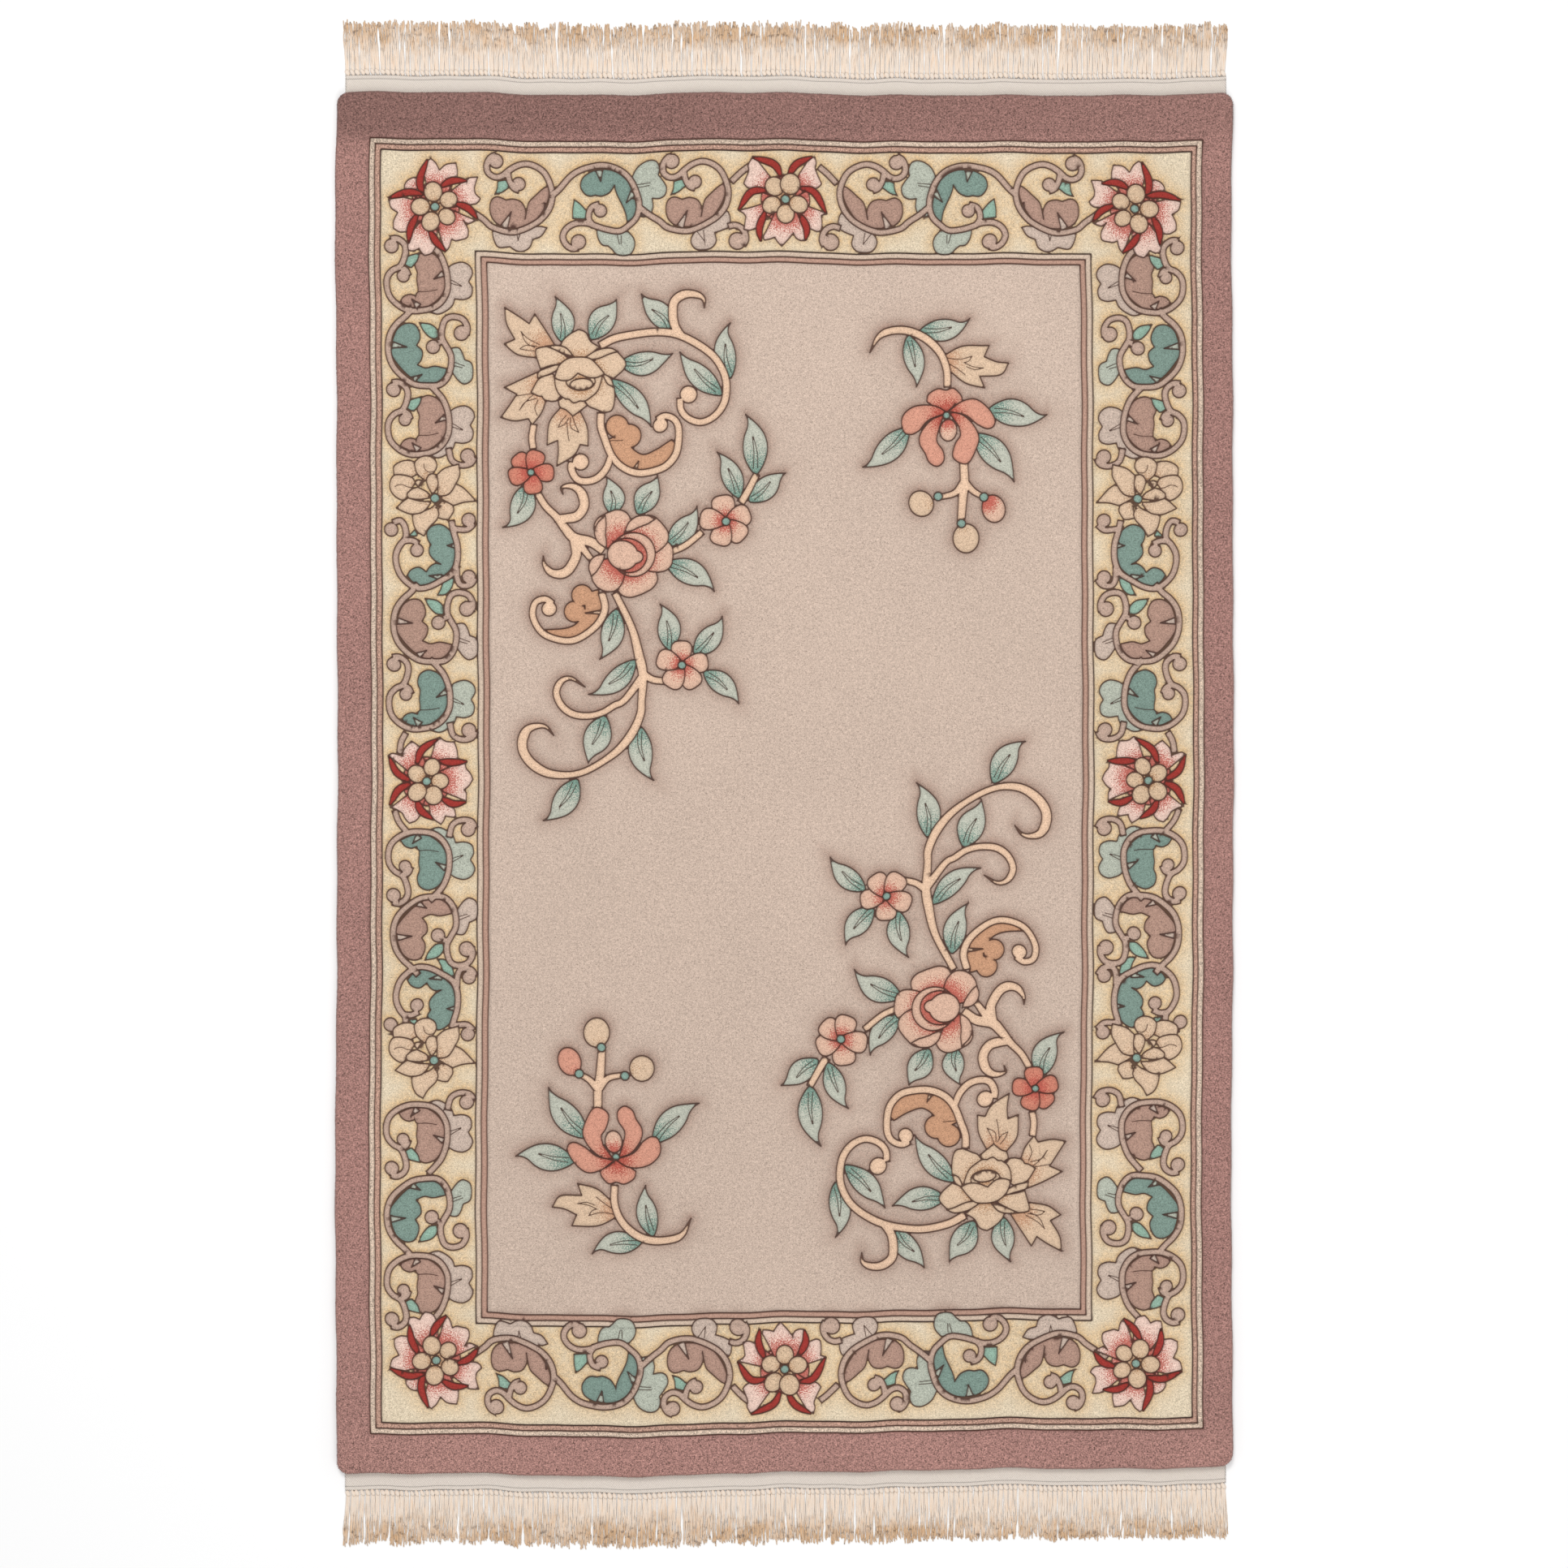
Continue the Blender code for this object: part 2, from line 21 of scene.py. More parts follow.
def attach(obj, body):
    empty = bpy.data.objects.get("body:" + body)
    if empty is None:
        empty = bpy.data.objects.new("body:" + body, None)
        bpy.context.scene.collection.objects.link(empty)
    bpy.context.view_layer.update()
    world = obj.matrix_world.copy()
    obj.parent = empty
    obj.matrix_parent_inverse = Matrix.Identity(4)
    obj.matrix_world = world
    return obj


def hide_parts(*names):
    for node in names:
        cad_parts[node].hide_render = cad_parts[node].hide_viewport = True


bl_info = {
    "name": "Hand-knotted rug",
    "version": (1, 0, 0),
    "blender": (4, 5, 0),
    "location": "3D View > Sidebar > Rug",
    "description": "Makes the carved pile, the woven ends and the fringe of a hand-knotted rug",
    "category": "Object",
}

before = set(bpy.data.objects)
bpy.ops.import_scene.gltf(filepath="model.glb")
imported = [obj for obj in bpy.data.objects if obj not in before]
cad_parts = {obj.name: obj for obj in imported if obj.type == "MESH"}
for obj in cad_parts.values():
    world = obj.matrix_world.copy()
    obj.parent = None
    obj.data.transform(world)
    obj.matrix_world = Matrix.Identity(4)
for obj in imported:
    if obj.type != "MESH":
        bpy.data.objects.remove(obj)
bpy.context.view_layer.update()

# The chart, in metres a step, and the outlines on it, in chart steps
CHART_STEP = 0.0011
Rectangle = namedtuple("Rectangle", "left right low high")
PILE = Rectangle(-551.5, 551.5, -848.0, 850.0)
CORNER_RADIUS = 14.0
WEB_LEFT = -542.5
WEB_RIGHT = 544.5
OUTER_GUARD = Rectangle(-510.5, 515.5, -800.0, 793.0)
CREAM_EDGE = Rectangle(-496.5, 502.5, -786.0, 779.0)
INNER_GUARD = Rectangle(-379.0, 379.5, -664.5, 654.5)
FIELD_EDGE = Rectangle(-365.0, 366.0, -650.5, 641.0)
LINE_SPACING = 12.0
CURVE_SPACING = 3.4

# The slow waves of a hand-woven line, in chart steps and radians
Wave = namedtuple("Wave", "across height length start")
WAVES = (
    Wave(True, 1.7, 980.0, 2.1),
    Wave(True, 0.9, 410.0, 0.4),
    Wave(False, 1.5, 760.0, 1.2),
    Wave(False, 1.2, 330.0, 2.6),
    Wave(False, 0.7, 131.0, 0.9),
    Wave(False, 0.4, 71.0, 2.2),
    Wave(True, 0.5, 117.0, 1.7),
)

# How far the lines stray besides, at places along them, in chart steps
TOP_STRAY = ((-480, 3), (-300, 0), (-100, 0), (80, -2), (280, -3), (450, 1))
LOW_STRAY = ((-400, -1), (-120, -5), (80, 0), (280, 4), (450, 7))
SIDE_STRAY = ((-760, 0), (-560, 1.5), (-345, -1.5), (-220, 0), (100, 0), (285, 3), (500, 1), (735, -1.5))

# Where the relief's points lie beside a carved line, and how wide apart, in chart steps
Ring = namedtuple("Ring", "offset spacing")
RELIEF_RINGS = (Ring(1.6, 2.6), Ring(5.5, 5.0), Ring(14.0, 11.0))
CUT_RING = Ring(1.0, 1.8)
FILL_SPACING = 24.0
GROOVE_WIDTH = 1.6
CUT_WIDTH = 1.0
HALO_WIDTH = 20.0

# Yarns, each with its sRGB colour as dyed
YARNS = {
    "outer_mauve": (157, 118, 110),
    "light_stripe": (206, 184, 165),
    "pink_stripe": (183, 146, 129),
    "cream_ground": (215, 199, 173),
    "field_beige": (196, 175, 160),
    "vine_mauve": (186, 159, 143),
    "leaf_mauve": (169, 136, 121),
    "pale_mauve": (194, 174, 160),
    "leaf_teal": (121, 142, 132),
    "pale_teal": (174, 178, 164),
    "mint": (183, 184, 170),
    "bud_teal": (143, 172, 155),
    "deep_teal": (105, 139, 126),
    "peach": (224, 190, 162),
    "amber": (192, 146, 115),
    "peony_cream": (209, 181, 154),
    "tan": (180, 134, 96),
    "rose_pink": (211, 174, 152),
    "rose_red": (184, 88, 76),
    "coral": (204, 146, 125),
    "deep_coral": (172, 74, 62),
    "brick": (198, 126, 106),
    "oxblood": (156, 54, 47),
    "lotus_pink": (222, 192, 178),
    "heart_cream": (204, 176, 147),
    "dot_teal": (136, 162, 150),
    # Not a dyed yarn: dark brown for the painted shade in carved lines, and for the fringe's real stain spots
    "shade_brown": (70, 43, 36),
    # Not a dyed yarn: a tan for painted shade round motifs
    "halo_shade_tan": (172, 142, 122),
    "cotton": (236, 225, 214),
    "fringe": (238, 225, 212),
    "fringe_stain": (206, 172, 136),
}

# Grounds, whose pile is clipped lower towards a motif
GROUNDS = ("outer_mauve", "cream_ground", "field_beige")


# The group of the border's vines, which run into one another from scroll to scroll
VINES = 0


class Chart:
    """Closed patches of yarn, drawn one over another, and lines cut into them."""

    def __init__(self):
        self.patches = []
        self.cuts = []
        self.groups = 0

    def new_group(self):
        """Patches of one group have no carved line between them."""
        self.groups += 1
        return self.groups

    def patch(self, outline, yarn, group, shade=None):
        self.patches.append(Patch(np.asarray(outline, float), yarn, group, shade))

    def cut(self, line):
        self.cuts.append(Cut(np.asarray(line, float), len(self.patches) - 1))

    def add(self, other, turn=(1.0, 0.0, 0.0, 1.0), x=0.0, y=0.0):
        """Draws another chart on this one, turned or mirrored by a 2 by 2 matrix and moved."""
        matrix = np.array(turn, float).reshape(2, 2)
        shift = np.array((x, y))
        first_group = self.groups
        first_patch = len(self.patches)
        for patch in other.patches:
            shade = patch.shade
            if shade:
                middle = matrix @ np.array((shade.x, shade.y)) + shift
                shade = shade._replace(x=middle[0], y=middle[1])
            outline = patch.outline @ matrix.T + shift
            group = patch.group and patch.group + first_group
            self.patches.append(Patch(outline, patch.yarn, group, shade))
        for cut in other.cuts:
            self.cuts.append(Cut(cut.line @ matrix.T + shift, cut.order + first_patch))
        self.groups += other.groups


Patch = namedtuple("Patch", "outline yarn group shade")
Cut = namedtuple("Cut", "line order")
# A second yarn knotted in among the first: all of it up to `near` from a point, none beyond `far`
Shade = namedtuple("Shade", "yarn x y near far most")


def woven(points):
    """Chart points where the weaving really put them, since no hand-woven line is quite straight."""
    moved = np.array(points, float)
    for wave in WAVES:
        along = points[:, 1] if wave.across else points[:, 0]
        swing = wave.height * np.sin(2 * math.pi * along / wave.length + wave.start)
        moved[:, 0 if wave.across else 1] += swing
    top, low, side = (np.array(stray, float).T for stray in (TOP_STRAY, LOW_STRAY, SIDE_STRAY))
    share = np.clip((points[:, 1] + 850) / 1700, 0, 1)
    moved[:, 1] += share * np.interp(points[:, 0], *top) + (1 - share) * np.interp(points[:, 0], *low)
    moved[:, 0] += np.interp(points[:, 1], *side)
    return moved


def spline(points, spacing=CURVE_SPACING):
    """A smooth open line through given points."""
    points = np.asarray(points, float)
    ends = np.vstack((2 * points[0] - points[1], points, 2 * points[-1] - points[-2]))
    line = []
    for a, b, c, d in zip(ends, ends[1:], ends[2:], ends[3:]):
        count = max(1, math.ceil(np.linalg.norm(c - b) / spacing))
        t = (np.arange(count) / count)[:, None]
        line.append(0.5 * (2 * b + (c - a) * t + (2 * a - 5 * b + 4 * c - d) * t**2 + (3 * b - a - 3 * c + d) * t**3))
    line.append(points[-1:])
    return np.vstack(line)


def outline_of(*runs):
    """A closed outline: smooth runs, each from one corner to the next, through given points."""
    return np.vstack([spline(run)[:-1] for run in runs])


def cornered(*runs):
    """The same, for runs that each start where the one before it ends, and don't say that point again."""
    return outline_of(*((before[-1], *run) for before, run in zip((runs[-1], *runs), runs)))


def oval(x, y, length, width, turn=0.0):
    sides = max(8, round(math.pi * (length + width) / 2 / CURVE_SPACING))
    angle = 2 * math.pi * np.arange(sides) / sides
    along = length / 2 * np.cos(angle)
    beside = width / 2 * np.sin(angle)
    turn = math.radians(turn)
    return np.stack(
        (x + along * math.cos(turn) - beside * math.sin(turn), y + along * math.sin(turn) + beside * math.cos(turn)),
        axis=1,
    )


def disc(x, y, radius):
    return oval(x, y, 2 * radius, 2 * radius)


# Half outlines of petals and leaves: share of the reach, and share of the half width
PROFILES = {
    "round": ((0, 0.2), (0.25, 0.55), (0.55, 0.95), (0.8, 0.92), (0.95, 0.5), (1.0, 0.0)),
    "broad": ((0, 0.3), (0.25, 0.7), (0.55, 1.0), (0.82, 0.98), (0.97, 0.6), (1.0, 0.0)),
    "leaf": ((0, 0.12), (0.1, 0.5), (0.28, 0.9), (0.46, 1.0), (0.64, 0.82), (0.8, 0.42), (0.92, 0.14), (1.0, 0.0)),
}


def petal(x, y, angle, reach, width, profile="round", start=0.0, bend=0.0, hook=0.0):
    """A petal or leaf that leaves a point at an angle; `bend` bows its middle and `hook` draws out its tip."""
    half = spline(np.array(PROFILES[profile]) * (reach - start, width / 2))
    outline = np.vstack((half, (half * (1, -1))[::-1][1:]))
    share = outline[:, 0] / (reach - start)
    outline[:, 1] += bend * np.sin(math.pi * share) + hook * np.clip((share - 0.72) / 0.28, 0, 1) ** 2
    outline[:, 0] += start
    angle = math.radians(angle)
    turn = np.array(((math.cos(angle), math.sin(angle)), (-math.sin(angle), math.cos(angle))))
    return outline @ turn + (x, y)


def joint(start, end):
    """The line across a band where two pieces of it meet; its inner points stay clear of the carved sides."""
    width = np.linalg.norm(end - start)
    if width < 0.2:
        return start[None, :]
    if width < 2.4 * GROOVE_WIDTH:
        return np.stack((start, (start + end) / 2, end))
    inner = (end - start) / width * GROOVE_WIDTH
    return np.stack((start, start + inner, end - inner, end))


def band(chart, route, widths, yarn, group):
    """A stem or scroll along a route; its width runs evenly through the widths given."""
    line = spline(route)
    length = np.concatenate(((0,), np.cumsum(np.linalg.norm(np.diff(line, axis=0), axis=1))))
    half = np.interp(length / length[-1], np.linspace(0, 1, len(widths)), widths)[:, None] / 2
    run = np.gradient(line, axis=0)
    side = np.stack((-run[:, 1], run[:, 0]), axis=1) / np.linalg.norm(run, axis=1)[:, None]
    left = line + side * half
    right = line - side * half
    for first in range(0, len(line) - 1, 5):
        last = min(first + 5, len(line) - 1)
        end = joint(left[last], right[last])
        start = joint(right[first], left[first])
        chart.patch(np.vstack((left[first:last], end, right[first + 1 : last][::-1], start[:-1])), yarn, group)


def vein(chart, base, tip, spread, bend=0.0):
    """The two lines of a leaf's hairpin vein, from its base to where they meet."""
    base = np.array(base, float)
    tip = np.array(tip, float)
    run = tip - base
    side = np.array((-run[1], run[0])) / np.linalg.norm(run)
    middle = base + run * 0.5 + side * bend
    for hand in (-1, 1):
        route = (base + side * spread * hand, middle + side * spread * hand * 0.7, tip + side * hand * 0.6)
        chart.cut(spline(route, 4.0))


def leaf(chart, base, tip, width, hook=4.0, bend=0.0):
    """A mint leaf with teal knots towards its base and a hairpin vein."""
    run = np.subtract(tip, base)
    hook *= 1.5
    reach = math.sqrt(float(run @ run) - hook**2)
    angle = math.degrees(math.atan2(run[1], run[0]) - math.asin(hook / float(np.hypot(*run))))
    group = chart.new_group()
    shade = Shade("deep_teal", base[0], base[1], 0.0, reach * 0.62, 0.95)
    chart.patch(petal(*base, angle, reach, width, "leaf", bend=bend, hook=hook), "mint", group, shade)
    axis = np.array((math.cos(math.radians(angle)), math.sin(math.radians(angle)))) * reach
    vein(chart, np.array(base) + axis * 0.1, np.array(base) + axis * 0.62, 2.8, bend * 0.9)


Petal = namedtuple("Petal", "angle reach width profile")

# A border lotus: the outer edge of each petal, the sepals from root to tip, and the heart's petals as angle,
# distance and radius
Lotus = namedtuple("Lotus", "petals sepals hearts")
CORNER_LOTUS = Lotus(
    (
        (((-30, -33),), ((-33, -45), (-32, -53)), ((-26, -54), (-19, -51)), ((-16, -56), (-12, -60)), ((-3, -57), (3, -46))),
        (((13, -56),), ((18, -50), (21, -40)), ((26, -42), (31, -41), (40, -38), (41, -28), (35, -17)), ((41, -21), (51, -17))),
        (((50, 3),), ((54, 6), (56, 10)), ((50, 16), (49, 23)), ((51, 30), (53, 36)), ((47, 36), (40, 35))),
        (((28, 36),), ((28, 45), (26, 54)), ((14, 52), (6, 45)), ((1, 54), (-5, 59)), ((-11, 55), (-14, 44))),
        (((-20, 37),), ((-27, 36), (-33, 33), (-37, 27), (-37, 21))),
        (((-38, 12),), ((-50, 10), (-57, 8)), ((-54, -2), (-46, -7)), ((-51, -18), (-51, -27)), ((-43, -31), (-34, -30))),
    ),
    (
        ((-15, 14), (-18, 34), (-9, 58)),
        ((8, 25), (22, 32), (40, 32)),
        ((26, 4), (41, -2), (52, -15)),
        ((-6, -30), (2, -43), (14, -55)),
        ((-22, -9), (-30, -26), (-32, -44)),
        ((-15, 16), (-34, 18), (-57, 10)),
    ),
    ((96, 18.5, 11.2), (27, 19, 10), (-40, 19, 9.8), (-106, 19, 11), (179, 18, 10.6)),
)
SIDE_LOTUS = Lotus(
    (
        (((-47, 31),), ((-42, 34), (-36, 33), (-29, 31)), ((-27, 40), (-18, 50)), ((-12, 46), (-6, 41))),
        (((12, 50),), ((17, 54),), ((24, 49), (35, 48)), ((38, 38), (39, 26))),
        (((46, 25),), ((50, 25),), ((48, 20), (49, 15)), ((54, 9), (57, 2)), ((52, -6), (46, -11)), ((49, -15), (49, -25))),
        (((33, -31),), ((36, -38), (37, -45)), ((30, -44), (24, -43)), ((22, -49), (19, -53)), ((14, -50), (6, -44))),
        (((-6, -40),), ((-12, -48), (-20, -51)), ((-25, -46), (-29, -39)), ((-36, -35), (-44, -33))),
    ),
    (
        ((-12, 22), (-5, 39), (15, 52)),
        ((16, 24), (32, 23), (50, 24)),
        ((19, -21), (33, -28), (49, -26)),
        ((-12, -23), (-6, -36), (9, -47)),
        ((-20, -2), (-35, -11), (-45, -30)),
        ((-20, 1), (-37, 11), (-46, 30)),
    ),
    ((142, 15.3, 10.5), (69, 18.5, 10), (0, 16.4, 9.8), (-64, 19.4, 11), (228, 17.4, 11)),
)
END_LOTUS = Lotus(
    (
        (((-36, 51),), ((-42, 51),), ((-46, 43), (-45, 36), (-51, 21)), ((-47, 16), (-38, 13))),
        (((30, 53),), ((36, 54),), ((38, 46), (37, 39), (45, 21)), ((40, 16), (31, 14))),
        (((-55, -12),), ((-58, -13),), ((-52, -16), (-49, -20)), ((-50, -28), (-51, -36)), ((-43, -37), (-32, -32))),
        (((48, -14),), ((51, -16),), ((47, -17), (44, -18)), ((45, -28), (44, -36)), ((39, -38), (27, -33))),
        (((-27, -45),), ((-26, -50),), ((-19, -49), (-13, -47)), ((-9, -53), (-4, -58)), ((4, -49), (10, -41)),
         ((13, -47), (19, -50)), ((26, -49), (27, -42))),
    ),
    (
        ((-5, 28), (-14, 43), (-41, 53)),
        ((4, 29), (14, 44), (33, 54)),
        ((-22, 11), (-42, 10), (-58, -12)),
        ((19, 15), (36, 10), (50, -15)),
        ((-25, -15), (-32, -34), (-30, -51)),
        ((18, -18), (26, -34), (25, -49)),
    ),
    ((130, 20.5, 11.2), (72, 20, 12.2), (202, 18.4, 10.6), (270, 18, 10.8), (341, 17, 10.6)),
)


def lotus(form):
    """A border lotus: pink petals with red bases, oxblood sepals, a cream heart and a teal dot."""
    chart = Chart()
    chart.patch(disc(0, 0, 30), "lotus_pink", chart.new_group(), Shade("rose_red", 0, 0, 22, 52, 1.0))
    for edge in form.petals:
        chart.patch(cornered(((0, 0), *edge[0]), *edge[1:]), "lotus_pink", chart.new_group(), Shade("rose_red", 0, 0, 22, 52, 1.0))
    for route in form.sepals:
        band(chart, route, (4, 8.5, 9, 7, 2), "oxblood", chart.new_group())
    shade = Shade("tan", 0, 0, 4, 17, 0.8)
    chart.patch(disc(0, 0, 14), "heart_cream", chart.new_group(), shade)
    for angle, distance, radius in form.hearts:
        x = distance * math.cos(math.radians(angle))
        y = distance * math.sin(math.radians(angle))
        chart.patch(oval(x, y, 2 * radius + 2, 2 * radius, angle), "heart_cream", chart.new_group(), shade)
    chart.patch(disc(0, 0, 5.4), "dot_teal", chart.new_group())
    return chart


PEONY_PETALS = (
    (((4, 2), (18, 7), (26, 18)), ((36, 12), (51, -4)), ((36, -5), (23, -9)), ((15, -5), (5, 1))),
    (((3, -3), (15, -5), (22, -9)), ((23, -16), (17, -26)), ((11, -26), (4, -24)), ((3, -3),)),
    (((2, -4), (-5, -12), (-28, -20)), ((-26, -32), (-21, -41), (-13, -46)), ((-7, -36), (2, -27), (5, -20)), ((2, -4),)),
    (((-4, -4), (-19, -3), (-33, 1)), ((-40, -4), (-48, -12)), ((-39, -16), (-28, -19), (-14, -16), (-4, -4))),
    (((3, 2), (4, 16), (3, 29)), ((13, 37), (30, 42)), ((31, 29), (26, 18), (17, 5), (3, 2))),
)
PEONY_LOBES = (
    ((-22, 28), (((-50, 39), (-40, 46), (-30, 47), (-24, 45)), ((-21, 30),), ((-36, 24), (-50, 29))), ()),
    ((-22, 18), (((-40, -2), (-49, 2), (-55, 10), (-55, 20), (-50, 28), (-39, 29), (-28, 26), (-24, 20)), ((-30, 10), (-34, 2))),
     ((-49, 14), (-46, 16), (-40, 17), (-32, 14), (-21, 14))),
    ((-11, 26), (((-21, 30), (-24, 39), (-24, 45), (-17, 51), (-7, 52), (1, 47), (3, 39), (0, 33)), ((-6, 26), (-12, 22))),
     ((-13, 42), (-12, 37), (-10, 34), (-6, 32), (-1, 33))),
)
PEONY_FINGERS = (
    (((-4, 1), (-18, -1), (-33, 1), (-34, 7)), ((-28, 12), (-21, 14)), ((-10, 8), (-4, 1))),
    (((-4, 3), (-21, 14)), ((-24, 20), (-21, 23), (-12, 22)), ((-4, 3),)),
    (((-3, 4), (-9, 16), (-10, 24), (-5, 30), (2, 29)), ((4, 16), (-3, 4))),
)


def border_peony():
    """The cream flower between the scrolls of a long side: pointed petals and three curled ones."""
    chart = Chart()
    base = Shade("tan", 0, 0, 5, 28, 0.5)
    for runs in PEONY_PETALS:
        chart.patch(cornered(*runs), "peony_cream", chart.new_group(), base)
    for place, runs, line in PEONY_LOBES:
        chart.patch(cornered(*runs), "peony_cream", chart.new_group(), Shade("tan", *place, 2, 16, 0.5))
        if line:
            chart.cut(spline(line))
    for runs in PEONY_FINGERS:
        chart.patch(cornered(*runs), "peony_cream", chart.new_group(), base)
    chart.patch(disc(0, 0, 5.6), "dot_teal", chart.new_group())
    return chart


# A scroll: leaves as a yarn and an outline, pale wedges cut into them from a mouth to a point, carved lines, and
# vines that each run into a knob. On an end `x` runs from the corner and `y` to the field; on a side `x` runs to
# the field and `y` from the side's middle.
Scroll = namedtuple("Scroll", "leaves wedges cuts vines")
BUD = "bud_teal"
END_INNER_DARK = (
    ((-11, 1), (-2, 3), (3, 9), (5, 17), (4, 25)),
    ((6, 14), (9, 4), (17, -4), (26, -12), (33, -16)),
    ((34, -6), (32, 3), (26, 15), (17, 26), (1, 35), (-15, 37), (-27, 35), (-35, 29), (-39, 20), (-39, 10), (-36, 3), (-29, 0), (-19, 3)),
)
END_INNER_BUD = (((-22, -21), (-29, -19)), ((-30, -10), (-33, -3)), ((-24, -6), (-14, -14)), ((-15, -22),))
END_INNER_VINES = (
    (((-72, 10), (-60, 20), (-47, 29), (-38, 37), (-25, 41), (-13, 42), (-4, 40), (10, 34), (24, 25), (34, 12), (38, -4), (35, -19), (28, -32),
      (17, -40), (5, -43), (-6, -40), (-15, -34), (-24, -26), (-33, -24), (-41, -29), (-43, -38), (-39, -47), (-32, -51)), (-31.8, -43.8, 8.9)),
    (((-17, -32), (-15, -22), (-10, -13), (-3, -10)), (-3.2, -18, 8.2)),
)
END_FIRST = Scroll(
    (
        ("pale", (((-36, 44), (-34, 53), (-28, 62), (-14, 60)), ((-7, 64), (1, 65), (10, 60), (14, 50)), ((24, 46), (31, 36)), ((20, 34), (-10, 38), (-36, 36)))),
        ("dark", END_INNER_DARK),
        (BUD, END_INNER_BUD),
    ),
    (((-22, 37), (-13, 17), 9), ((30, 17), (28, 5), 6)),
    (((-6, 43), (-4, 52)), ((-2, 43), (-4, 52))),
    END_INNER_VINES,
)
END_THIRD = Scroll(
    (
        ("pale", (((37, 19), (40, 28), (39, 37), (30, 42), (21, 45)), ((23, 56), (17, 64), (6, 66), (-3, 64), (-8, 56), (-6, 47), (3, 38)), ((18, 32), (28, 14)))),
        ("dark", END_INNER_DARK),
        (BUD, END_INNER_BUD),
    ),
    (((-22, 37), (-13, 17), 9),),
    (((-1, 43), (9, 56)), ((7, 42), (9, 56))),
    END_INNER_VINES,
)
END_SECOND = Scroll(
    (
        ("pale", (((33, -38), (42, -45), (51, -47), (58, -44), (61, -36), (60, -28)), ((66, -20), (70, -12), (68, -3), (61, 1), (52, 0)),
                  ((53, 10), (50, 19), (44, 22), (36, 21)), ((34, 0), (27, -26)))),
        ("pale", (((-16, 42), (-14, 50), (-9, 57), (-2, 58)), ((3, 62), (9, 68), (19, 69), (27, 66), (31, 56), (29, 47), (23, 40)), ((12, 37), (-16, 38)))),
        ("dark", (((3, -12), (-1, -7), (-10, -3), (-18, -4)),
                  ((-25, -3), (-31, -6), (-36, -15), (-33, -26), (-21, -34), (-10, -36), (3, -35), (14, -30), (23, -21), (29, -6), (32, 6), (31, 19), (27, 26), (21, 28)),
                  ((19, 17), (15, 7), (10, -3), (7, -11), (6, -17)))),
        (BUD, (((-46, 24),), ((-46, 13), (-44, 1)), ((-37, 6), (-29, 15)), ((-29, 25),))),
    ),
    (((-13, -35), (-11, -21), 9), ((29, -8), (20, 4), 8)),
    (((34, -18), (50, -19)), ((34, -14), (49, -16)), ((9, 44), (12, 55)), ((14, 45), (14, 55))),
    (
        (((-72, -3), (-62, -12), (-49, -27), (-37, -35), (-24, -39), (-10, -41), (4, -39), (17, -33), (27, -22), (33, -8), (36, 6), (33, 21), (24, 31), (12, 39), (-3, 38),
          (-17, 34), (-28, 30), (-42, 30), (-53, 36), (-58, 46), (-54, 56), (-46, 61), (-39, 60)), (-38.5, 53, 9.1)),
        (((-20, 34), (-26, 26), (-26, 17), (-22, 10), (-13, 7)), (-12, 14.8, 8)),
    ),
)
SIDE_INNER = Scroll(
    (
        ("pale", (((32, -22), (43, -20), (52, -25), (55, -34), (50, -44)), ((54, -52), (52, -62), (43, -66), (32, -65)),
                  ((29, -73), (21, -80), (11, -84), (-1, -81)), ((14, -72), (23, -55), (24, -27)))),
        ("dark", (((-13, -50), (-14, -41), (-13, -32), (-15, -27)),
                  ((-16, -21), (-13, -12), (-3, -7), (9, -11), (16, -20), (19, -30), (21, -41), (20, -52), (15, -62), (5, -71), (-7, -76), (-22, -75), (-36, -69)),
                  ((-31, -62), (-23, -59), (-16, -61)), ((-15, -58), (-13, -56)))),
    ),
    (((19, -34), (7, -41), 7), ((-13, -74), (-21, -65), 8)),
    (((-13, -56), (0, -56), (11, -54)), ((27, -41), (41, -49)), ((28, -46), (41, -50))),
    (
        (((0, 6), (7, -1), (16, -12), (22, -27), (24, -41), (23, -55), (16, -68), (5, -76), (-9, -79), (-23, -79), (-36, -74), (-47, -64), (-51, -52), (-50, -39),
          (-43, -30), (-34, -25), (-29, -15), (-27, -4), (-30, 4), (-38, 9), (-46, 8)), (-44.8, -0.5, 8.6)),
        (((-34, -26), (-27, -29), (-24, -36)), (-30.5, -36.6, 7.6)),
    ),
)
SIDE_BUD = (BUD, (((-25, -13), (-10, -8)), ((-13, -18), (-20, -26)), ((-24, -25), (-28, -22))))
SIDE_CURL = (((24, -72), (28, -87), (39, -93), (51, -91), (56, -83)), (47.5, -81.5, 8.8))
SIDE_OUTER = Scroll(
    (
        ("pale", (((36, -41), (41, -47), (44, -56)), ((52, -60), (54, -69), (52, -81), (43, -86), (36, -82), (30, -74)), ((25, -60), (26, -42)))),
        (BUD, (((3, -13), (11, -21), (11, -30)), ((2, -29), (-7, -20), (-12, -10)))),
        ("dark", (((-11, -30), (-12, -21), (-18, -12), (-29, -11), (-39, -18), (-44, -30), (-46, -40), (-46, -50), (-39, -61), (-27, -74), (-14, -83), (-2, -86),
                   (11, -83), (19, -75), (22, -67)), ((7, -64), (-4, -66), (-14, -62)), ((-9, -55), (-8, -45), (-15, -38)))),
    ),
    (((-45, -38), (-27, -40), 8), ((-20, -80), (-9, -74), 7)),
    (((31, -59), (44, -64)), ((30, -63), (41, -66))),
    (
        (((-20, 8), (-29, -2), (-39, -11), (-47, -23), (-50, -37), (-49, -52), (-43, -66), (-31, -78), (-18, -86), (-2, -88), (12, -87), (22, -78), (27, -64), (27, -50),
          (20, -37), (16, -29), (16, -18), (20, -7), (29, -3), (41, -6), (47, -16), (46, -26)), (40, -23.2, 9.2)),
        (((17, -33), (11, -35)), (5.2, -40.2, 8.4)),
    ),
)
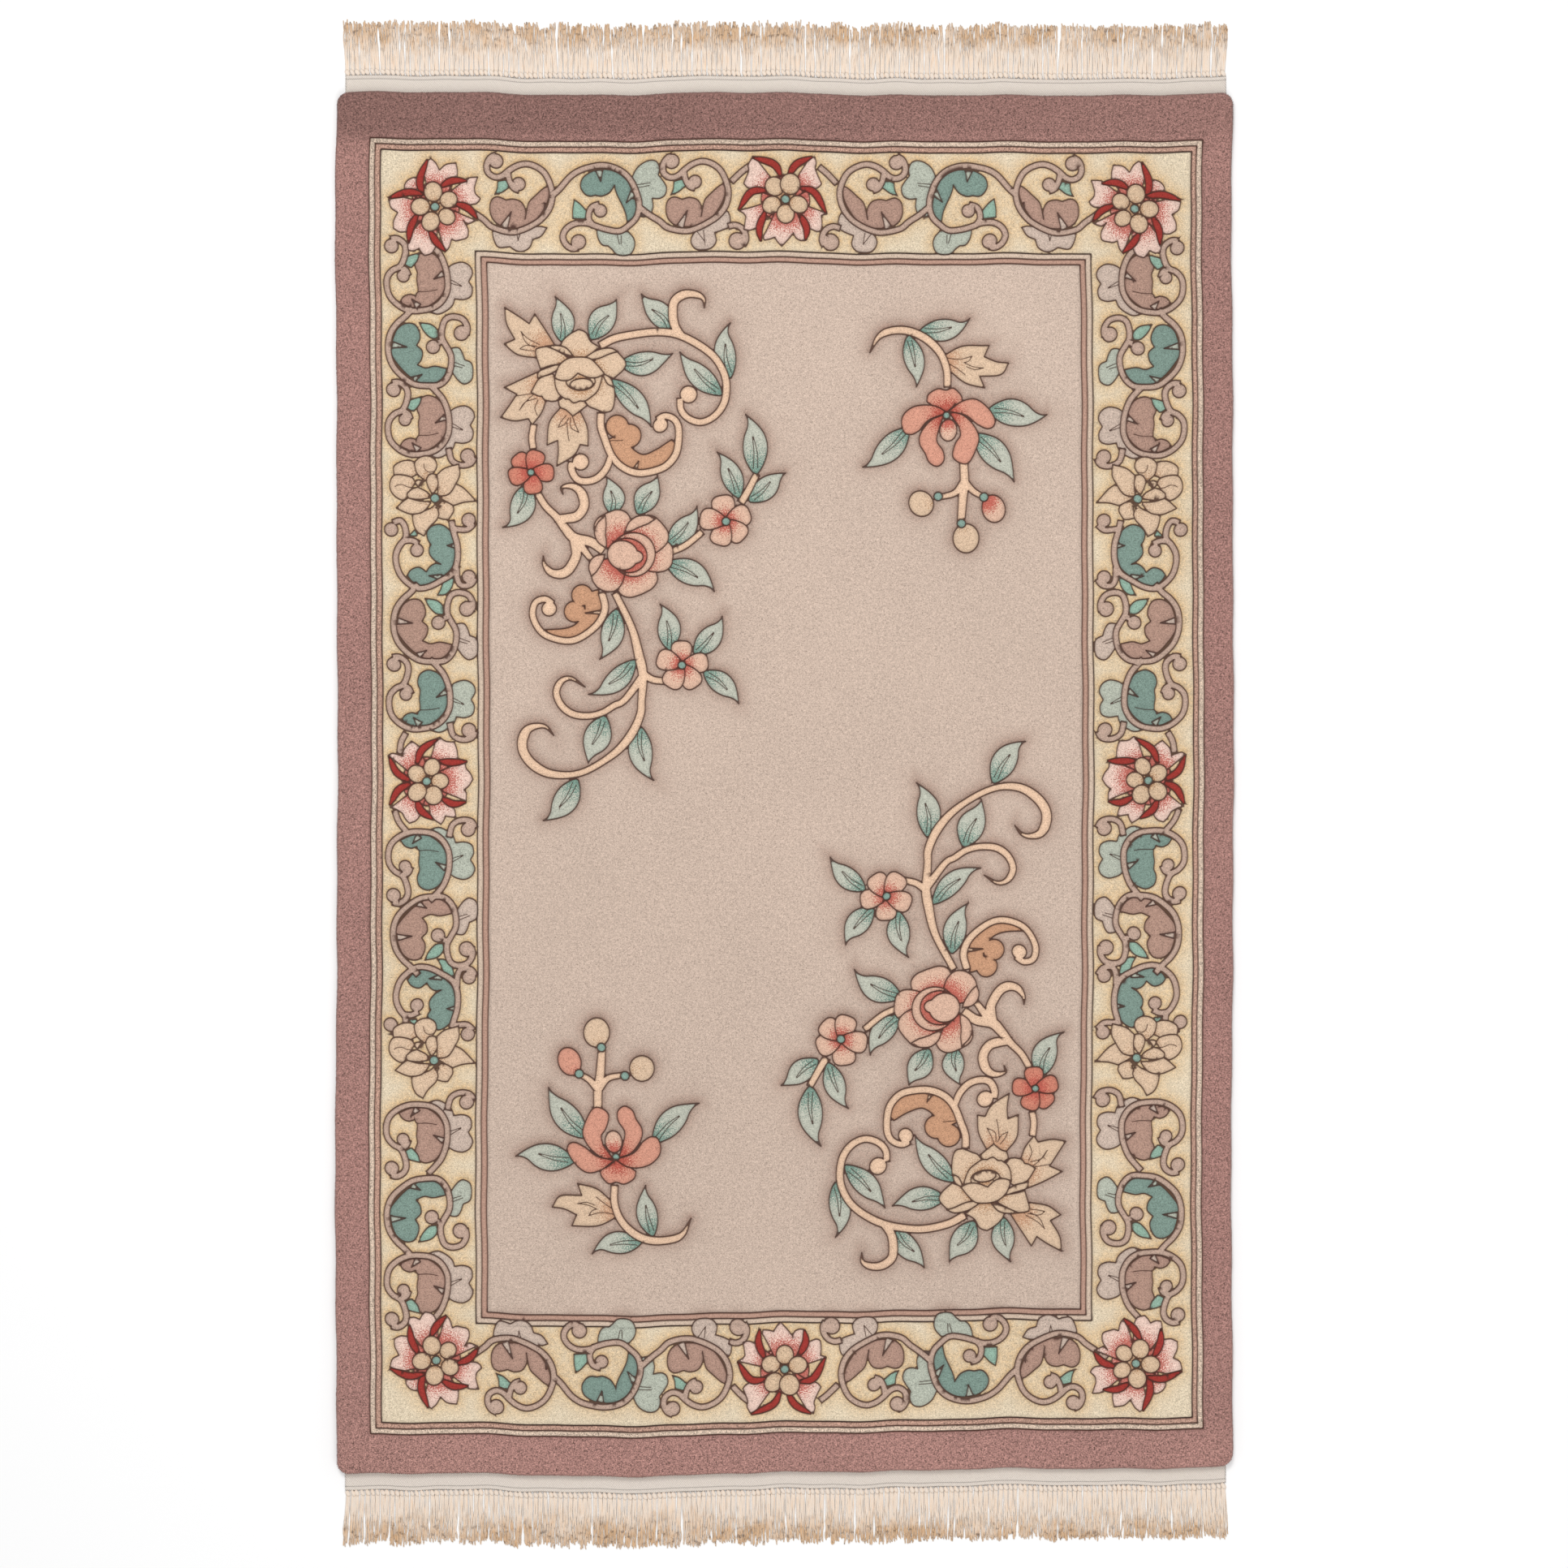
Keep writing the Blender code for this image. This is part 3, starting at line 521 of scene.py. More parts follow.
SIDE_MIDDLE_SCROLL = Scroll(
    (
        ("dark", (((-2, -11), (-3, -2), (3, 5), (14, 7), (25, 0), (30, -11), (32, -21), (31, -34), (27, -47), (16, -57), (3, -64), (-7, -68), (-20, -64), (-28, -55)),
                  ((-23, -48), (-13, -45), (-4, -51)), ((0, -45), (7, -41), (14, -42)), ((6, -37), (0, -29), (0, -21), (2, -18)))),
        (BUD, (((18, -62), (13, -73), (9, -80)), ((19, -79), (27, -70), (30, -57)))),
        (BUD, (((-18, 1),), ((-15, -6), (-26, -7)))),
    ),
    (((31, -19), (22, -19), 6), ((14, -58), (-1, -56), 7)),
    (),
    (
        (((27, 12), (30, -2), (34, -16), (35, -30), (33, -43), (27, -54), (14, -62), (0, -69), (-14, -71), (-25, -66), (-36, -55), (-41, -41), (-41, -29), (-36, -18),
          (-29, -9), (-30, 4), (-36, 12), (-45, 9)), (-47, 0.5, 8.4)),
        (((-33, -13), (-22, -12), (-13, -16)), (-15.3, -24.1, 8)),
        (((28, 2), (37, 1), (47, 1), (55, 8)), (48.1, 12.5, 8.4)),
        (((33, -45), (34, -60), (39, -68), (50, -67), (56, -59)), (48.1, -57.5, 8.3)),
    ),
)
ScrollPlace = namedtuple("ScrollPlace", "place low scroll colour shift")
END_SCROLLS = (
    ScrollPlace(-322.5, 0, END_FIRST, "mauve", 0),
    ScrollPlace(-213.7, 0, END_SECOND, "teal", 0),
    ScrollPlace(-105.5, 0, END_THIRD, "mauve", 0),
)
SIDE_SCROLLS = (
    ScrollPlace(661.2, -659.0, SIDE_INNER._replace(leaves=(*SIDE_INNER.leaves, SIDE_BUD)), "mauve", 0),
    ScrollPlace(577.3, -573.5, SIDE_OUTER, "teal", 0),
    ScrollPlace(484.5, -473.5, SIDE_INNER._replace(leaves=(*SIDE_INNER.leaves, SIDE_BUD), vines=(*SIDE_INNER.vines, SIDE_CURL)), "mauve", 0),
    ScrollPlace(311.6, -296.0, SIDE_MIDDLE_SCROLL, "teal", 0),
    ScrollPlace(238.0, -227.0, SIDE_OUTER, "mauve", 5.5),
    ScrollPlace(146.9, -138.0, SIDE_INNER._replace(vines=(*SIDE_INNER.vines, SIDE_CURL)), "teal", 0),
)
SIDE_STEMS = (((-30, 63), (-36, 51), (-38, 37)), ((-44, -33), (-38, -47), (-27, -60)))
SIDE_SCROLL_X = -437.8
END_SCROLL_Y = 722.5
SIDE_MIDDLE = 1.6
END_MIDDLE = 1.0


def scroll(place):
    """One scroll in its colours."""
    chart = Chart()
    yarns = {"dark": "leaf_" + place.colour, "pale": "pale_" + place.colour, BUD: BUD}
    for key, runs in place.scroll.leaves:
        chart.patch(cornered(*runs), yarns[key], chart.new_group())
    for line in place.scroll.cuts:
        chart.cut(spline(line))
    for mouth, point, width in place.scroll.wedges:
        band(chart, (mouth, point), (width, 0.0), yarns["pale"], chart.new_group())
    for route, knob in place.scroll.vines:
        band(chart, route, (7.4, 7.2, 7.2, 7.6), "vine_mauve", VINES)
        chart.patch(disc(*knob), "vine_mauve", VINES)
    return chart


def border(chart):
    """All scrolls and flowers of the cream border."""
    extra = Chart()
    band(extra, ((-65, -19), (-53, -31), (-43, -39)), (7.4, 7.4), "vine_mauve", VINES)
    band(extra, ((-69, 36), (-61, 34), (-53, 37), (-48, 44), (-47, 52), (-50, 58)), (7.4, 7.4, 7.4), "vine_mauve", VINES)
    extra.patch(disc(-57.5, 53.5, 10.4), "vine_mauve", VINES)
    stems = Chart()
    for route in SIDE_STEMS:
        band(stems, route, (7.2, 7.2), "vine_mauve", VINES)
    for hand in (1, -1):
        middle = SIDE_MIDDLE * (1 - hand)
        for side in (1, -1):
            for place in END_SCROLLS:
                x = place.place if hand == 1 else 2 * END_MIDDLE - place.place
                chart.add(scroll(place), (hand, 0, 0, -side), x, side * END_SCROLL_Y)
            chart.add(extra, (hand, 0, 0, -side), END_MIDDLE, side * (END_SCROLL_Y - 1.0))
            for place in SIDE_SCROLLS:
                level = place.place if side == 1 else place.low
                chart.add(scroll(place), (hand, 0, 0, side), middle + hand * (SIDE_SCROLL_X + place.shift), level)
            chart.add(border_peony(), (hand, 0, 0, 1), middle - hand * 431.3, 350.9 if side == 1 else -340.5)
            level = 709.5 if side == 1 else -714.0 + 4.5 * hand
            chart.add(lotus(CORNER_LOTUS), (hand, 0, 0, side), middle - hand * 429.5, level)
        chart.add(stems, (hand, 0, 0, 1), middle + hand * SIDE_SCROLL_X, 0.0)
        chart.add(lotus(SIDE_LOTUS), (hand, 0, 0, 1), middle - hand * 443.0, 3.0)
    chart.add(lotus(END_LOTUS), (1, 0, 0, 1), 2.5, 718.5)
    chart.add(lotus(END_LOTUS), (1, 0, 0, -1), 0.0, -722.5)


# The field's leaves, from where each leaves its stem to its tip
Leaf = namedtuple("Leaf", "base tip width hook bend")
LEAVES = (
    Leaf((-272, 545), (-281.5, 601), 28, 3, -2),
    Leaf((-238, 549), (-206, 598), 31, 3, 3),
    Leaf((-137, 557), (-175, 605), 27, -3, -3),
    Leaf((-202, 519), (-137, 529), 29, 2, -3),
    Leaf((-212, 499), (-164.5, 441), 27, -3, 2),
    Leaf((-78, 477), (-128, 531), 27, -2, 2),
    Leaf((-67, 498), (-66, 566), 26, -6, 2),
    Leaf((-34.5, 380), (-48.5, 454), 30, 5, -2),
    Leaf((-56, 351), (-82.5, 406.5), 26, 4, -1),
    Leaf((-43.5, 347), (1.5, 380), 27, -3, -2),
    Leaf((-211.5, 333), (-220, 380), 27, 3, -3),
    Leaf((-181, 335), (-156, 380), 30, 3, 2),
    Leaf((-143, 294), (-108, 341), 28, 4, -2),
    Leaf((-145, 272), (-87, 235), 30, -5, 2),
    Leaf((-316, 371), (-347, 315), 30, -7, 3),
    Leaf((-207, 217), (-228, 155), 28, -4, 2),
    Leaf((-141, 165), (-154, 222), 28, 4, -2),
    Leaf((-111, 158), (-77, 205), 28, 4, -1),
    Leaf((-100, 137), (-57.5, 97.5), 26, -3, 2),
    Leaf((-184, 155), (-243, 112), 25, -5, 3),
    Leaf((-222, 85), (-243, 27.5), 33, 3, 2),
    Leaf((-180, 74), (-162.5, 6), 29, 5, -3),
    Leaf((-257, 7.5), (-297.7, -43.7), 30, -5, 2),
    Leaf((167, 559), (228, 575), 27, 6, -2),
    Leaf((152.5, 553), (161.5, 490), 25, -3, 1),
    Leaf((250, 461), (322, 456), 33, 6, 2),
    Leaf((152, 438), (96, 392), 30, -4, 2),
    Leaf((234, 432), (282, 371), 31, -3, 2),
)


def lobed_leaf(chart, edge, base, veins):
    """A cream leaf with three points, amber at its base, and its inner veins."""
    shade = Shade("amber", base[0], base[1], 6, 34, 0.9)
    chart.patch(cornered(*edge), "peony_cream", chart.new_group(), shade)
    for line in veins:
        chart.cut(spline(line, 3.0))


def simple_flower(chart, x, y, petals, yarn, deep, dot):
    """A small flower of five round petals, red at their bases, with a teal dot."""
    shade = Shade(deep, x, y, 5, 24, 0.95)
    for angle, distance, radius in petals:
        outline = petal(x, y, angle, distance + radius, 2.05 * radius, "broad")
        chart.patch(outline, yarn, chart.new_group(), shade)
    chart.patch(disc(x, y, dot), "dot_teal", chart.new_group())


def big_peony(chart, x, y):
    """The cream peony: folded outer petals round a domed one, a scalloped bowl and its mouth."""
    flower = Chart()

    def fold(shade, *runs):
        flower.patch(cornered(*runs), "peony_cream", flower.new_group(), shade)

    outer = Shade("tan", 0, 0, 20, 42, 0.75)
    fold(outer, ((-21, 42), (-12, 51), (-1, 57)), ((8, 53), (14, 42), (25, 35)), ((0, 18), (-23, 33)))
    fold(outer, ((57, 18), (54, 8), (42, -3)), ((30, 2), (16, 14), (20, 24), (46, 31)))
    fold(
        outer,
        ((36, -4), (42, -14), (42, -32), (38, -43), (29, -45.5)), ((18, -41), (9, -36), (4, -20), (29, 4)),
    )
    fold(outer, ((-25, -39), (-18, -42), (-9, -49.5)), ((0, -43), (9, -36)), ((-8, -20), (-27, -31)))
    fold(
        outer,
        ((-50, -4), (-60.5, -20.5)), ((-52, -25), (-47, -25.5)), ((-44, -30), (-35, -32)),
        ((-27, -29), (-18, -8), (-34, 2)),
    )
    fold(outer, ((-50, 34), (-54, 29), (-48, 8)), ((-36, 12), (-22, 14)), ((-14, 22), (-38, 36)))
    light = Shade("tan", 0, 0, 10, 26, 0.5)
    fold(light, ((-28, 37), (-16, 34), (-7, 24)), ((-16, 26), (-28, 31), (-41, 36)))
    fold(light, ((-50, 5), (-38, 10), (-23, 15)), ((-25, 9), (-36, 2), (-52, -3)))
    fold(light, ((22, 31), (38, 34), (48, 30)), ((38, 27), (24, 21), (12, 20), (8, 23)))
    fold(light, ((38, -3), (42, -14)), ((34, -10), (29, 0), (28, 3)))
    bowl = Shade("tan", 1, -8, 12, 26, 0.65)
    fold(
        bowl,
        ((-30, -14), (-26, -23), (-18, -29)), ((-14, -29), (-8, -33.5), (-1, -31)), ((6, -31), (14, -26)),
        ((20, -21), (24, -14), (28, -1)), ((0, 6), (-31, -4)),
    )
    flower.patch(oval(1, -7, 36, 22, 0), "peony_cream", flower.new_group(), Shade("tan", 1, -8, 6, 14, 0.8))
    flower.patch(oval(2, -10.5, 28, 14, 3), "peony_cream", flower.new_group(), Shade("tan", 0, 2, 0, 11, 0.5))
    fold(
        Shade("tan", 0, -4, 3, 16, 0.35),
        ((-25, 12), (-14, 21), (0, 23), (13, 21), (22, 13), (31, 2)), ((21, -2.5), (10, -2), (-2, 3)),
        ((-12, -5), (-23, -6), (-31, -3)),
    )
    chart.add(flower, x=x, y=y)


def rose(chart, x, y):
    """The pink rose: five outer petals with folds, a ring round the bud, all red at their bases."""
    flower = Chart()
    outer = (
        Petal(116, 57, 46, "broad"),
        Petal(-70, 51, 50, "broad"),
        Petal(-4, 57, 38, "broad"),
        Petal(41, 57, 46, "broad"),
        Petal(227, 55, 40, "round"),
    )
    for item in outer:
        shade = Shade("rose_red", 0, 0, 22, item.reach * 0.88, 1.0)
        flower.patch(petal(0, 0, item.angle, item.reach, item.width, item.profile), "rose_pink", flower.new_group(), shade)
    folds = (
        ((-25, 7), (-33, 26), (-27, 48)),
        ((-3, 28), (13, 41), (36, 44)),
        ((-27, 0), (-39, -11), (-44, -27)),
    )
    for route in folds:
        band(flower, route, (0.0, 11, 14, 11, 0.0), "rose_pink", flower.new_group())
    flower.patch(disc(8, 1, 27), "rose_pink", flower.new_group(), Shade("rose_red", -1, 0, 16, 29, 1.0))
    flower.patch(oval(1, 0, 48, 42, -12), "rose_pink", flower.new_group(), Shade("rose_red", 4, 0, 14, 40, 1.0))
    group = flower.new_group()
    flower.patch(oval(-5, 0, 38, 36, -8), "rose_pink", group)
    flower.patch(oval(10, -2, 20, 16, 0), "rose_pink", group)
    chart.add(flower, x=x, y=y)


def curled_leaf(chart, discs, tail, widths, slit):
    group = chart.new_group()
    for lobe in discs:
        chart.patch(disc(*lobe), "amber", group)
    band(chart, tail, widths, "amber", group)
    band(chart, slit, (5, 0.0), "peach", chart.new_group())


def large_spray():
    """The spray of peony, rose and small flowers in the field's upper left."""
    chart = Chart()
    lobed_leaf(
        chart,
        (
            ((-292, 557), (-307, 580)), ((-314, 568),), ((-326, 576), (-344, 586)),
            ((-342, 567), (-331.5, 548)), ((-344.5, 541),), ((-328, 529.5), (-304, 526)), ((-280, 538),),
        ),
        (-292, 538),
        (
            ((-301, 542), (-316, 550), (-324, 558)), ((-307, 538.5), (-318, 545), (-324, 558)),
            ((-304, 540), (-318, 541), (-325, 536.5)), ((-303, 534), (-316, 535), (-325, 536.5)),
        ),
    )
    lobed_leaf(
        chart,
        (
            ((-322, 500), (-345.5, 487.5)), ((-330, 480.5),), ((-340, 465), (-350, 450)),
            ((-333, 447.5), (-316, 451)), ((-311, 443.5),), ((-300, 458), (-294, 474)), ((-300, 510),),
        ),
        (-296, 488),
        (
            ((-298, 484), (-316, 481), (-332, 478)), ((-306, 476), (-320, 471), (-327, 461)),
            ((-308, 482), (-318, 473), (-327, 461)), ((-304, 474), (-308, 464), (-305, 455)),
        ),
    )
    lobed_leaf(
        chart,
        (
            ((-290, 446), (-292, 418.5)), ((-279, 424),), ((-278, 410), (-280, 392.5)),
            ((-259, 406), (-251, 419.5)), ((-241.5, 417.5),), ((-243, 440), (-253, 462)), ((-277, 464),),
        ),
        (-265, 462),
        (
            ((-266, 452), (-271, 444), (-279, 440)), ((-269, 455), (-275, 448), (-279, 440)),
            ((-262, 455), (-258, 444), (-253, 434)), ((-264, 452), (-263, 440), (-253, 434)),
            ((-268, 446), (-267, 434), (-265, 424)),
        ),
    )
    curled_leaf(
        chart,
        ((-206, 442, 14), (-191, 431, 14.5)),
        ((-208, 430), (-196, 408), (-176, 396), (-155, 402), (-134.5, 419)),
        (24, 24, 24, 21, 12),
        ((-183, 391), (-179, 400)),
    )
    chart.cut(spline(((-217, 424), (-199, 425))))
    curled_leaf(
        chart,
        ((-250, 234, 13), (-259, 214, 13)),
        ((-240, 238), (-234, 214), (-248, 194), (-268, 187), (-297, 190)),
        (20, 26, 20, 12, 2),
        ((-227, 213), (-246, 212)),
    )
    for item in LEAVES[:23]:
        leaf(chart, item.base, item.tip, item.width, item.hook, item.bend)
    stems = (
        (((-309, 414), (-311, 428), (-309, 444)), (8, 8)),
        (((-307.5, 365.5), (-295.5, 344.5), (-280.5, 329.5), (-269.5, 315.5), (-258.5, 304.5), (-238.5, 299.5), (-222.5, 288.5)), (8, 9, 13, 11)),
        (((-253, 298), (-238, 278)), (10, 7)),
        (((-283, 328), (-268, 328.5), (-254.8, 331.9), (-247.2, 343.8), (-249, 357), (-254.8, 365), (-264, 368.5), (-274.5, 366), (-273, 358)), (9, 12, 12, 12, 7, 0)),
        (((-260, 307), (-256.5, 290), (-257, 281), (-265.7, 265.8), (-276, 260), (-288, 262), (-296, 272), (-297, 282)), (11, 12, 12, 12, 8, 0)),
        (((-141, 285), (-122, 293), (-101, 309)), (8, 8)),
        (((-54, 345), (-46, 358), (-34, 380)), (9, 8)),
        (((-173.6, 137), (-163, 130), (-148.6, 127)), (9, 8)),
        (((-125.5, 549.7), (-134.6, 563.5), (-137, 579.6), (-134.6, 593.4), (-123, 601.4), (-109.4, 601.4), (-99, 595.7), (-98, 584)), (9, 11, 11, 11, 8, 0)),
        (((-213, 405), (-219.6, 389), (-231, 377.5), (-245, 374), (-256, 377.5), (-262, 389), (-261, 398)), (8, 9, 9, 9)),
        (
            (
                (-226.5, 458), (-226.5, 442), (-221, 426), (-213, 407), (-201, 393.6), (-183, 385.6), (-164.5, 385.6),
                (-146, 391), (-133.5, 405), (-130, 423.5), (-131, 439.5), (-137, 449), (-148, 453), (-157.5, 449),
            ),
            (9, 9, 9, 8),
        ),
        (
            (
                (-226.5, 540.5), (-206, 551), (-178, 556.5), (-153, 556.5), (-130, 552), (-107, 540.5), (-86.5, 524.5),
                (-75, 506), (-71.5, 488), (-75, 467), (-86.5, 451), (-102.5, 444), (-118.5, 449), (-128, 460), (-129, 474),
            ),
            (9.5, 9.5, 9, 8),
        ),
        (
            (
                (-225.5, 237), (-222, 215.5), (-234.5, 194), (-263, 178), (-295, 185), (-310, 206), (-308, 224),
                (-296, 229), (-286, 223),
            ),
            (9, 8.5, 8, 8),
        ),
        (
            (
                (-177, 133.5), (-199, 105.5), (-210.5, 99), (-225, 89.7), (-242, 85.6), (-260.5, 87.5), (-273.6, 95.5),
                (-281, 107), (-282, 118), (-275, 129), (-263, 131.5), (-247, 121),
            ),
            (10, 8, 8, 9, 8, 0),
        ),
        (
            (
                (-209.5, 237), (-188, 194), (-179, 158.5), (-175.5, 137), (-177.5, 105.5), (-178.5, 89), (-187.5, 67.5),
                (-202.5, 47.5), (-222.5, 31), (-247, 17.6), (-270.5, 12.6), (-293.5, 15), (-311.8, 26), (-322.5, 40.8),
                (-323.5, 55.8), (-316.8, 69), (-303.5, 73.2), (-293.5, 70.7), (-285, 61),
            ),
            (8.5, 9, 12, 9, 11, 8, 8, 12, 12, 0),
        ),
    )
    group = chart.new_group()
    for route, widths in stems:
        band(chart, route, widths, "peach", group)
    for knob in ((-118.5, 478.5, 10.5), (-153, 442, 9), (-250.5, 398, 10), (-290.5, 217, 9)):
        chart.patch(disc(*knob), "peach", group)
    simple_flower(chart, -312, 385, ((133, 17, 11), (72, 17, 11), (-2, 18, 10.5), (-83, 16, 11), (197, 18, 10.5)), "brick", "rose_red", 4.5)
    simple_flower(chart, -72, 321.5, ((100, 19, 13.5), (22, 19, 12.5), (-42, 18, 12.5), (-107, 18, 12.5), (172, 20, 12.5)), "rose_pink", "rose_red", 5.2)
    simple_flower(chart, -127, 146, ((90, 18, 12), (6, 21, 11.5), (-58, 20, 12), (-123, 19, 12.5), (160, 20, 12)), "rose_pink", "rose_red", 5.0)
    big_peony(chart, -252, 504)
    rose(chart, -194, 284)
    return chart


def small_spray(last_bud):
    """The orchid with its three buds, in the field's upper right."""
    chart = Chart()
    for item in LEAVES[23:]:
        leaf(chart, item.base, item.tip, item.width, item.hook, item.bend)
    lobed_leaf(
        chart,
        (
            ((220, 540.5), (252, 540.5)), ((246, 527),), ((261, 520), (276, 518)), ((266, 504), (240, 503)),
            ((245.5, 488.5),), ((222, 495), (204, 509)), ((195, 528),),
        ),
        (196, 521),
        (
            ((198, 526), (215, 524), (231, 528)), ((221, 520), (227, 522), (231, 528)),
            ((202, 519), (213, 512), (222, 505)), ((221, 520), (232, 515), (245, 513)),
            ((224, 515), (234, 511.5), (245, 513)),
        ),
    )
    stems = (
        (((220.5, 396), (221, 372.5), (218.5, 353.5), (216.5, 322)), (10, 11, 9)),
        (((219.5, 372), (209, 359), (191, 354)), (9, 6.5)),
        (((222, 372), (232, 361), (244, 354)), (9, 6.5)),
        (((199.8, 490), (199.5, 511.5), (191.5, 532.5), (174.5, 549.5), (153.5, 558.5), (130.5, 558.5), (115.5, 551.5), (105, 533)), (8.5, 9, 10, 10, 9, 0)),
    )
    group = chart.new_group()
    for route, widths in stems:
        band(chart, route, widths, "peach", group)
    chart.patch(oval(167.2, 346, 32, 30, 120), "peony_cream", chart.new_group(), Shade("tan", 180, 346, 0, 18, 0.45))
    chart.patch(oval(223, 302.9, 32, 36), "peony_cream", chart.new_group(), Shade("tan", 218, 314, 0, 16, 0.4))
    bud = Shade("rose_red", 248, 349, 6, 22, 1.0) if last_bud == "rose_pink" else Shade("deep_coral", 248, 349, 0, 12, 0.5)
    chart.patch(oval(256.5, 338.5, 28, 35, 20), last_bud, chart.new_group(), bud)
    for dot in ((188.2, 354.9, 5.5), (217.1, 321.2, 5.5), (244.5, 353.5, 5.5)):
        chart.patch(disc(*dot), "dot_teal", chart.new_group())
    base = Shade("deep_coral", 198, 455, 4, 34, 1.0)
    petals = (
        (
            ((199, 459), (185, 465), (174, 472)),
            ((174, 472), (176, 481), (188, 488), (198, 486), (207, 488.5), (216, 480), (218, 472)),
            ((218, 472), (208, 467), (199, 459)),
        ),
        (
            (
                (198, 459), (186, 466), (172, 468), (157, 465), (146, 456), (143, 445), (147, 433),
                (156, 431), (165, 436),
            ),
            ((165, 436), (176, 449), (196, 457)),
        ),
        (
            ((201, 460), (217, 472), (234, 475), (249, 464), (258, 449), (256, 440), (248, 438), (236, 444)),
            ((236, 444), (222, 455), (204, 459)),
        ),
        (
            (
                (195, 456), (179, 449), (167, 433), (166, 420), (173, 408), (178, 397), (188, 392),
                (196, 399), (195, 411), (187, 424), (190, 441),
            ),
            ((190, 441), (195, 456)),
        ),
        (
            (
                (201, 459), (217, 456), (231, 444), (239, 427), (234, 409), (226, 396), (216, 396),
                (207, 404), (210, 420), (216, 430), (214, 441),
            ),
            ((214, 441), (201, 459)),
        ),
    )
    for runs in petals:
        chart.patch(outline_of(*runs), "coral", chart.new_group(), base)
    chart.patch(oval(201, 436.5, 21, 27), "rose_pink", chart.new_group(), Shade("rose_red", 200, 448, 4, 20, 0.9))
    chart.patch(disc(198.3, 455, 4.4), "dot_teal", chart.new_group())
    return chart


def rounded_rectangle(inset):
    """The pile's outline, this many steps in from its edge."""
    radius = CORNER_RADIUS - inset
    line = []
    corners = (
        (PILE.right - CORNER_RADIUS, PILE.high - CORNER_RADIUS),
        (PILE.left + CORNER_RADIUS, PILE.high - CORNER_RADIUS),
        (PILE.left + CORNER_RADIUS, PILE.low + CORNER_RADIUS),
        (PILE.right - CORNER_RADIUS, PILE.low + CORNER_RADIUS),
    )
    for index, corner in enumerate(corners):
        turn = np.radians(90 * index + np.arange(0, 91, 15))
        arc = np.array(corner) + radius * np.stack((np.cos(turn), np.sin(turn)), axis=1)
        line += list(arc)
        following = np.array(corners[(index + 1) % 4]) + radius * np.array(
            (math.cos(turn[-1]), math.sin(turn[-1]))
        )
        count = round(np.linalg.norm(following - arc[-1]) / LINE_SPACING)
        line += [arc[-1] + (following - arc[-1]) * share / count for share in range(1, count)]
    return np.array(line)


def rectangle_line(rectangle, inset=0.0):
    left, right, low, high = rectangle.left + inset, rectangle.right - inset, rectangle.low + inset, rectangle.high - inset
    corners = ((left, low), (right, low), (right, high), (left, high))
    line = []
    for start, end in zip(corners, corners[1:] + corners[:1]):
        start = np.array(start)
        run = np.array(end) - start
        count = round(np.linalg.norm(run) / LINE_SPACING)
        line += [start + run * share / count for share in range(count)]
    return np.array(line)


RIM_INSETS = (0.0, 0.5, 1.5, 3.2)
STRIPE_SPLIT = 7.0


def draw_rug():
    """The whole chart: bands and stripes first, then the border's scrolls and the field's sprays."""
    chart = Chart()
    rim_group = chart.new_group()
    for inset in RIM_INSETS:
        chart.patch(rounded_rectangle(inset), "outer_mauve", rim_group)
    stripes = (
        (OUTER_GUARD, 0.0, "light_stripe"),
        (OUTER_GUARD, STRIPE_SPLIT, "pink_stripe"),
        (CREAM_EDGE, 0.0, "cream_ground"),
        (INNER_GUARD, 0.0, "light_stripe"),
        (INNER_GUARD, STRIPE_SPLIT, "pink_stripe"),
        (FIELD_EDGE, 0.0, "field_beige"),
    )
    for rectangle, inset, yarn in stripes:
        chart.patch(rectangle_line(rectangle, inset), yarn, chart.new_group())
    border(chart)
    large = large_spray()
    chart.add(large, x=-0.5, y=1.0)
    chart.add(large, (-1, 0, 0, -1), -2.0, 7.0)
    chart.add(small_spray("rose_pink"), x=0.5, y=0.0)
    chart.add(small_spray("coral"), (-1, 0, 0, -1), -8.0, 0.0)
    return chart


STRIPE_PATCHES = len(RIM_INSETS) + 6
ZONE_PATCHES = (len(RIM_INSETS) + 2, len(RIM_INSETS) + 3)


def linear(srgb):
    """A colour as the shaders count it, from its 0 to 255 sRGB values."""
    value = np.array(srgb, float) / 255
    return np.where(value <= 0.04045, value / 12.92, ((value + 0.055) / 1.055) ** 2.4)


def unique_in_cells(points, spacing):
    """One point for each cell of a grid, so that points keep roughly this far apart."""
    cells = np.floor(points / spacing).astype(np.int64)
    keys = cells[:, 0] * 100003 + cells[:, 1]
    return points[np.unique(keys, return_index=True)[1]]


def tree_of(points):
    tree = KDTree(len(points))
    for index, point in enumerate(points):
        tree.insert((point[0], point[1], 0.0), index)
    tree.balance()
    return tree


def nearest(tree, points):
    return np.array([tree.find((x, y, 0.0))[2] for x, y in points])


def laid_back(points):
    """The chart points of places on the rug: `woven` undone."""
    chart = points.copy()
    for _ in range(3):
        chart = chart - (woven(chart) - points)
    return chart


def corners_only(outline):
    """The outline without the points that lie on its straight runs."""
    before = outline - np.roll(outline, 1, axis=0)
    after = np.roll(outline, -1, axis=0) - outline
    turn = np.abs(before[:, 0] * after[:, 1] - before[:, 1] * after[:, 0])
    return outline[turn > 1e-6]


def inside(points, outline):
    """Which points lie inside a closed outline, by how often a ray from each crosses it."""
    start = corners_only(outline)
    end = np.roll(start, -1, axis=0)
    odd = np.zeros(len(points), bool)
    for (x0, y0), (x1, y1) in zip(start, end):
        if y0 == y1:
            continue
        level = (y0 > points[:, 1]) != (y1 > points[:, 1])
        odd ^= level & (points[:, 0] < (x1 - x0) * (points[:, 1] - y0) / (y1 - y0) + x0)
    return odd


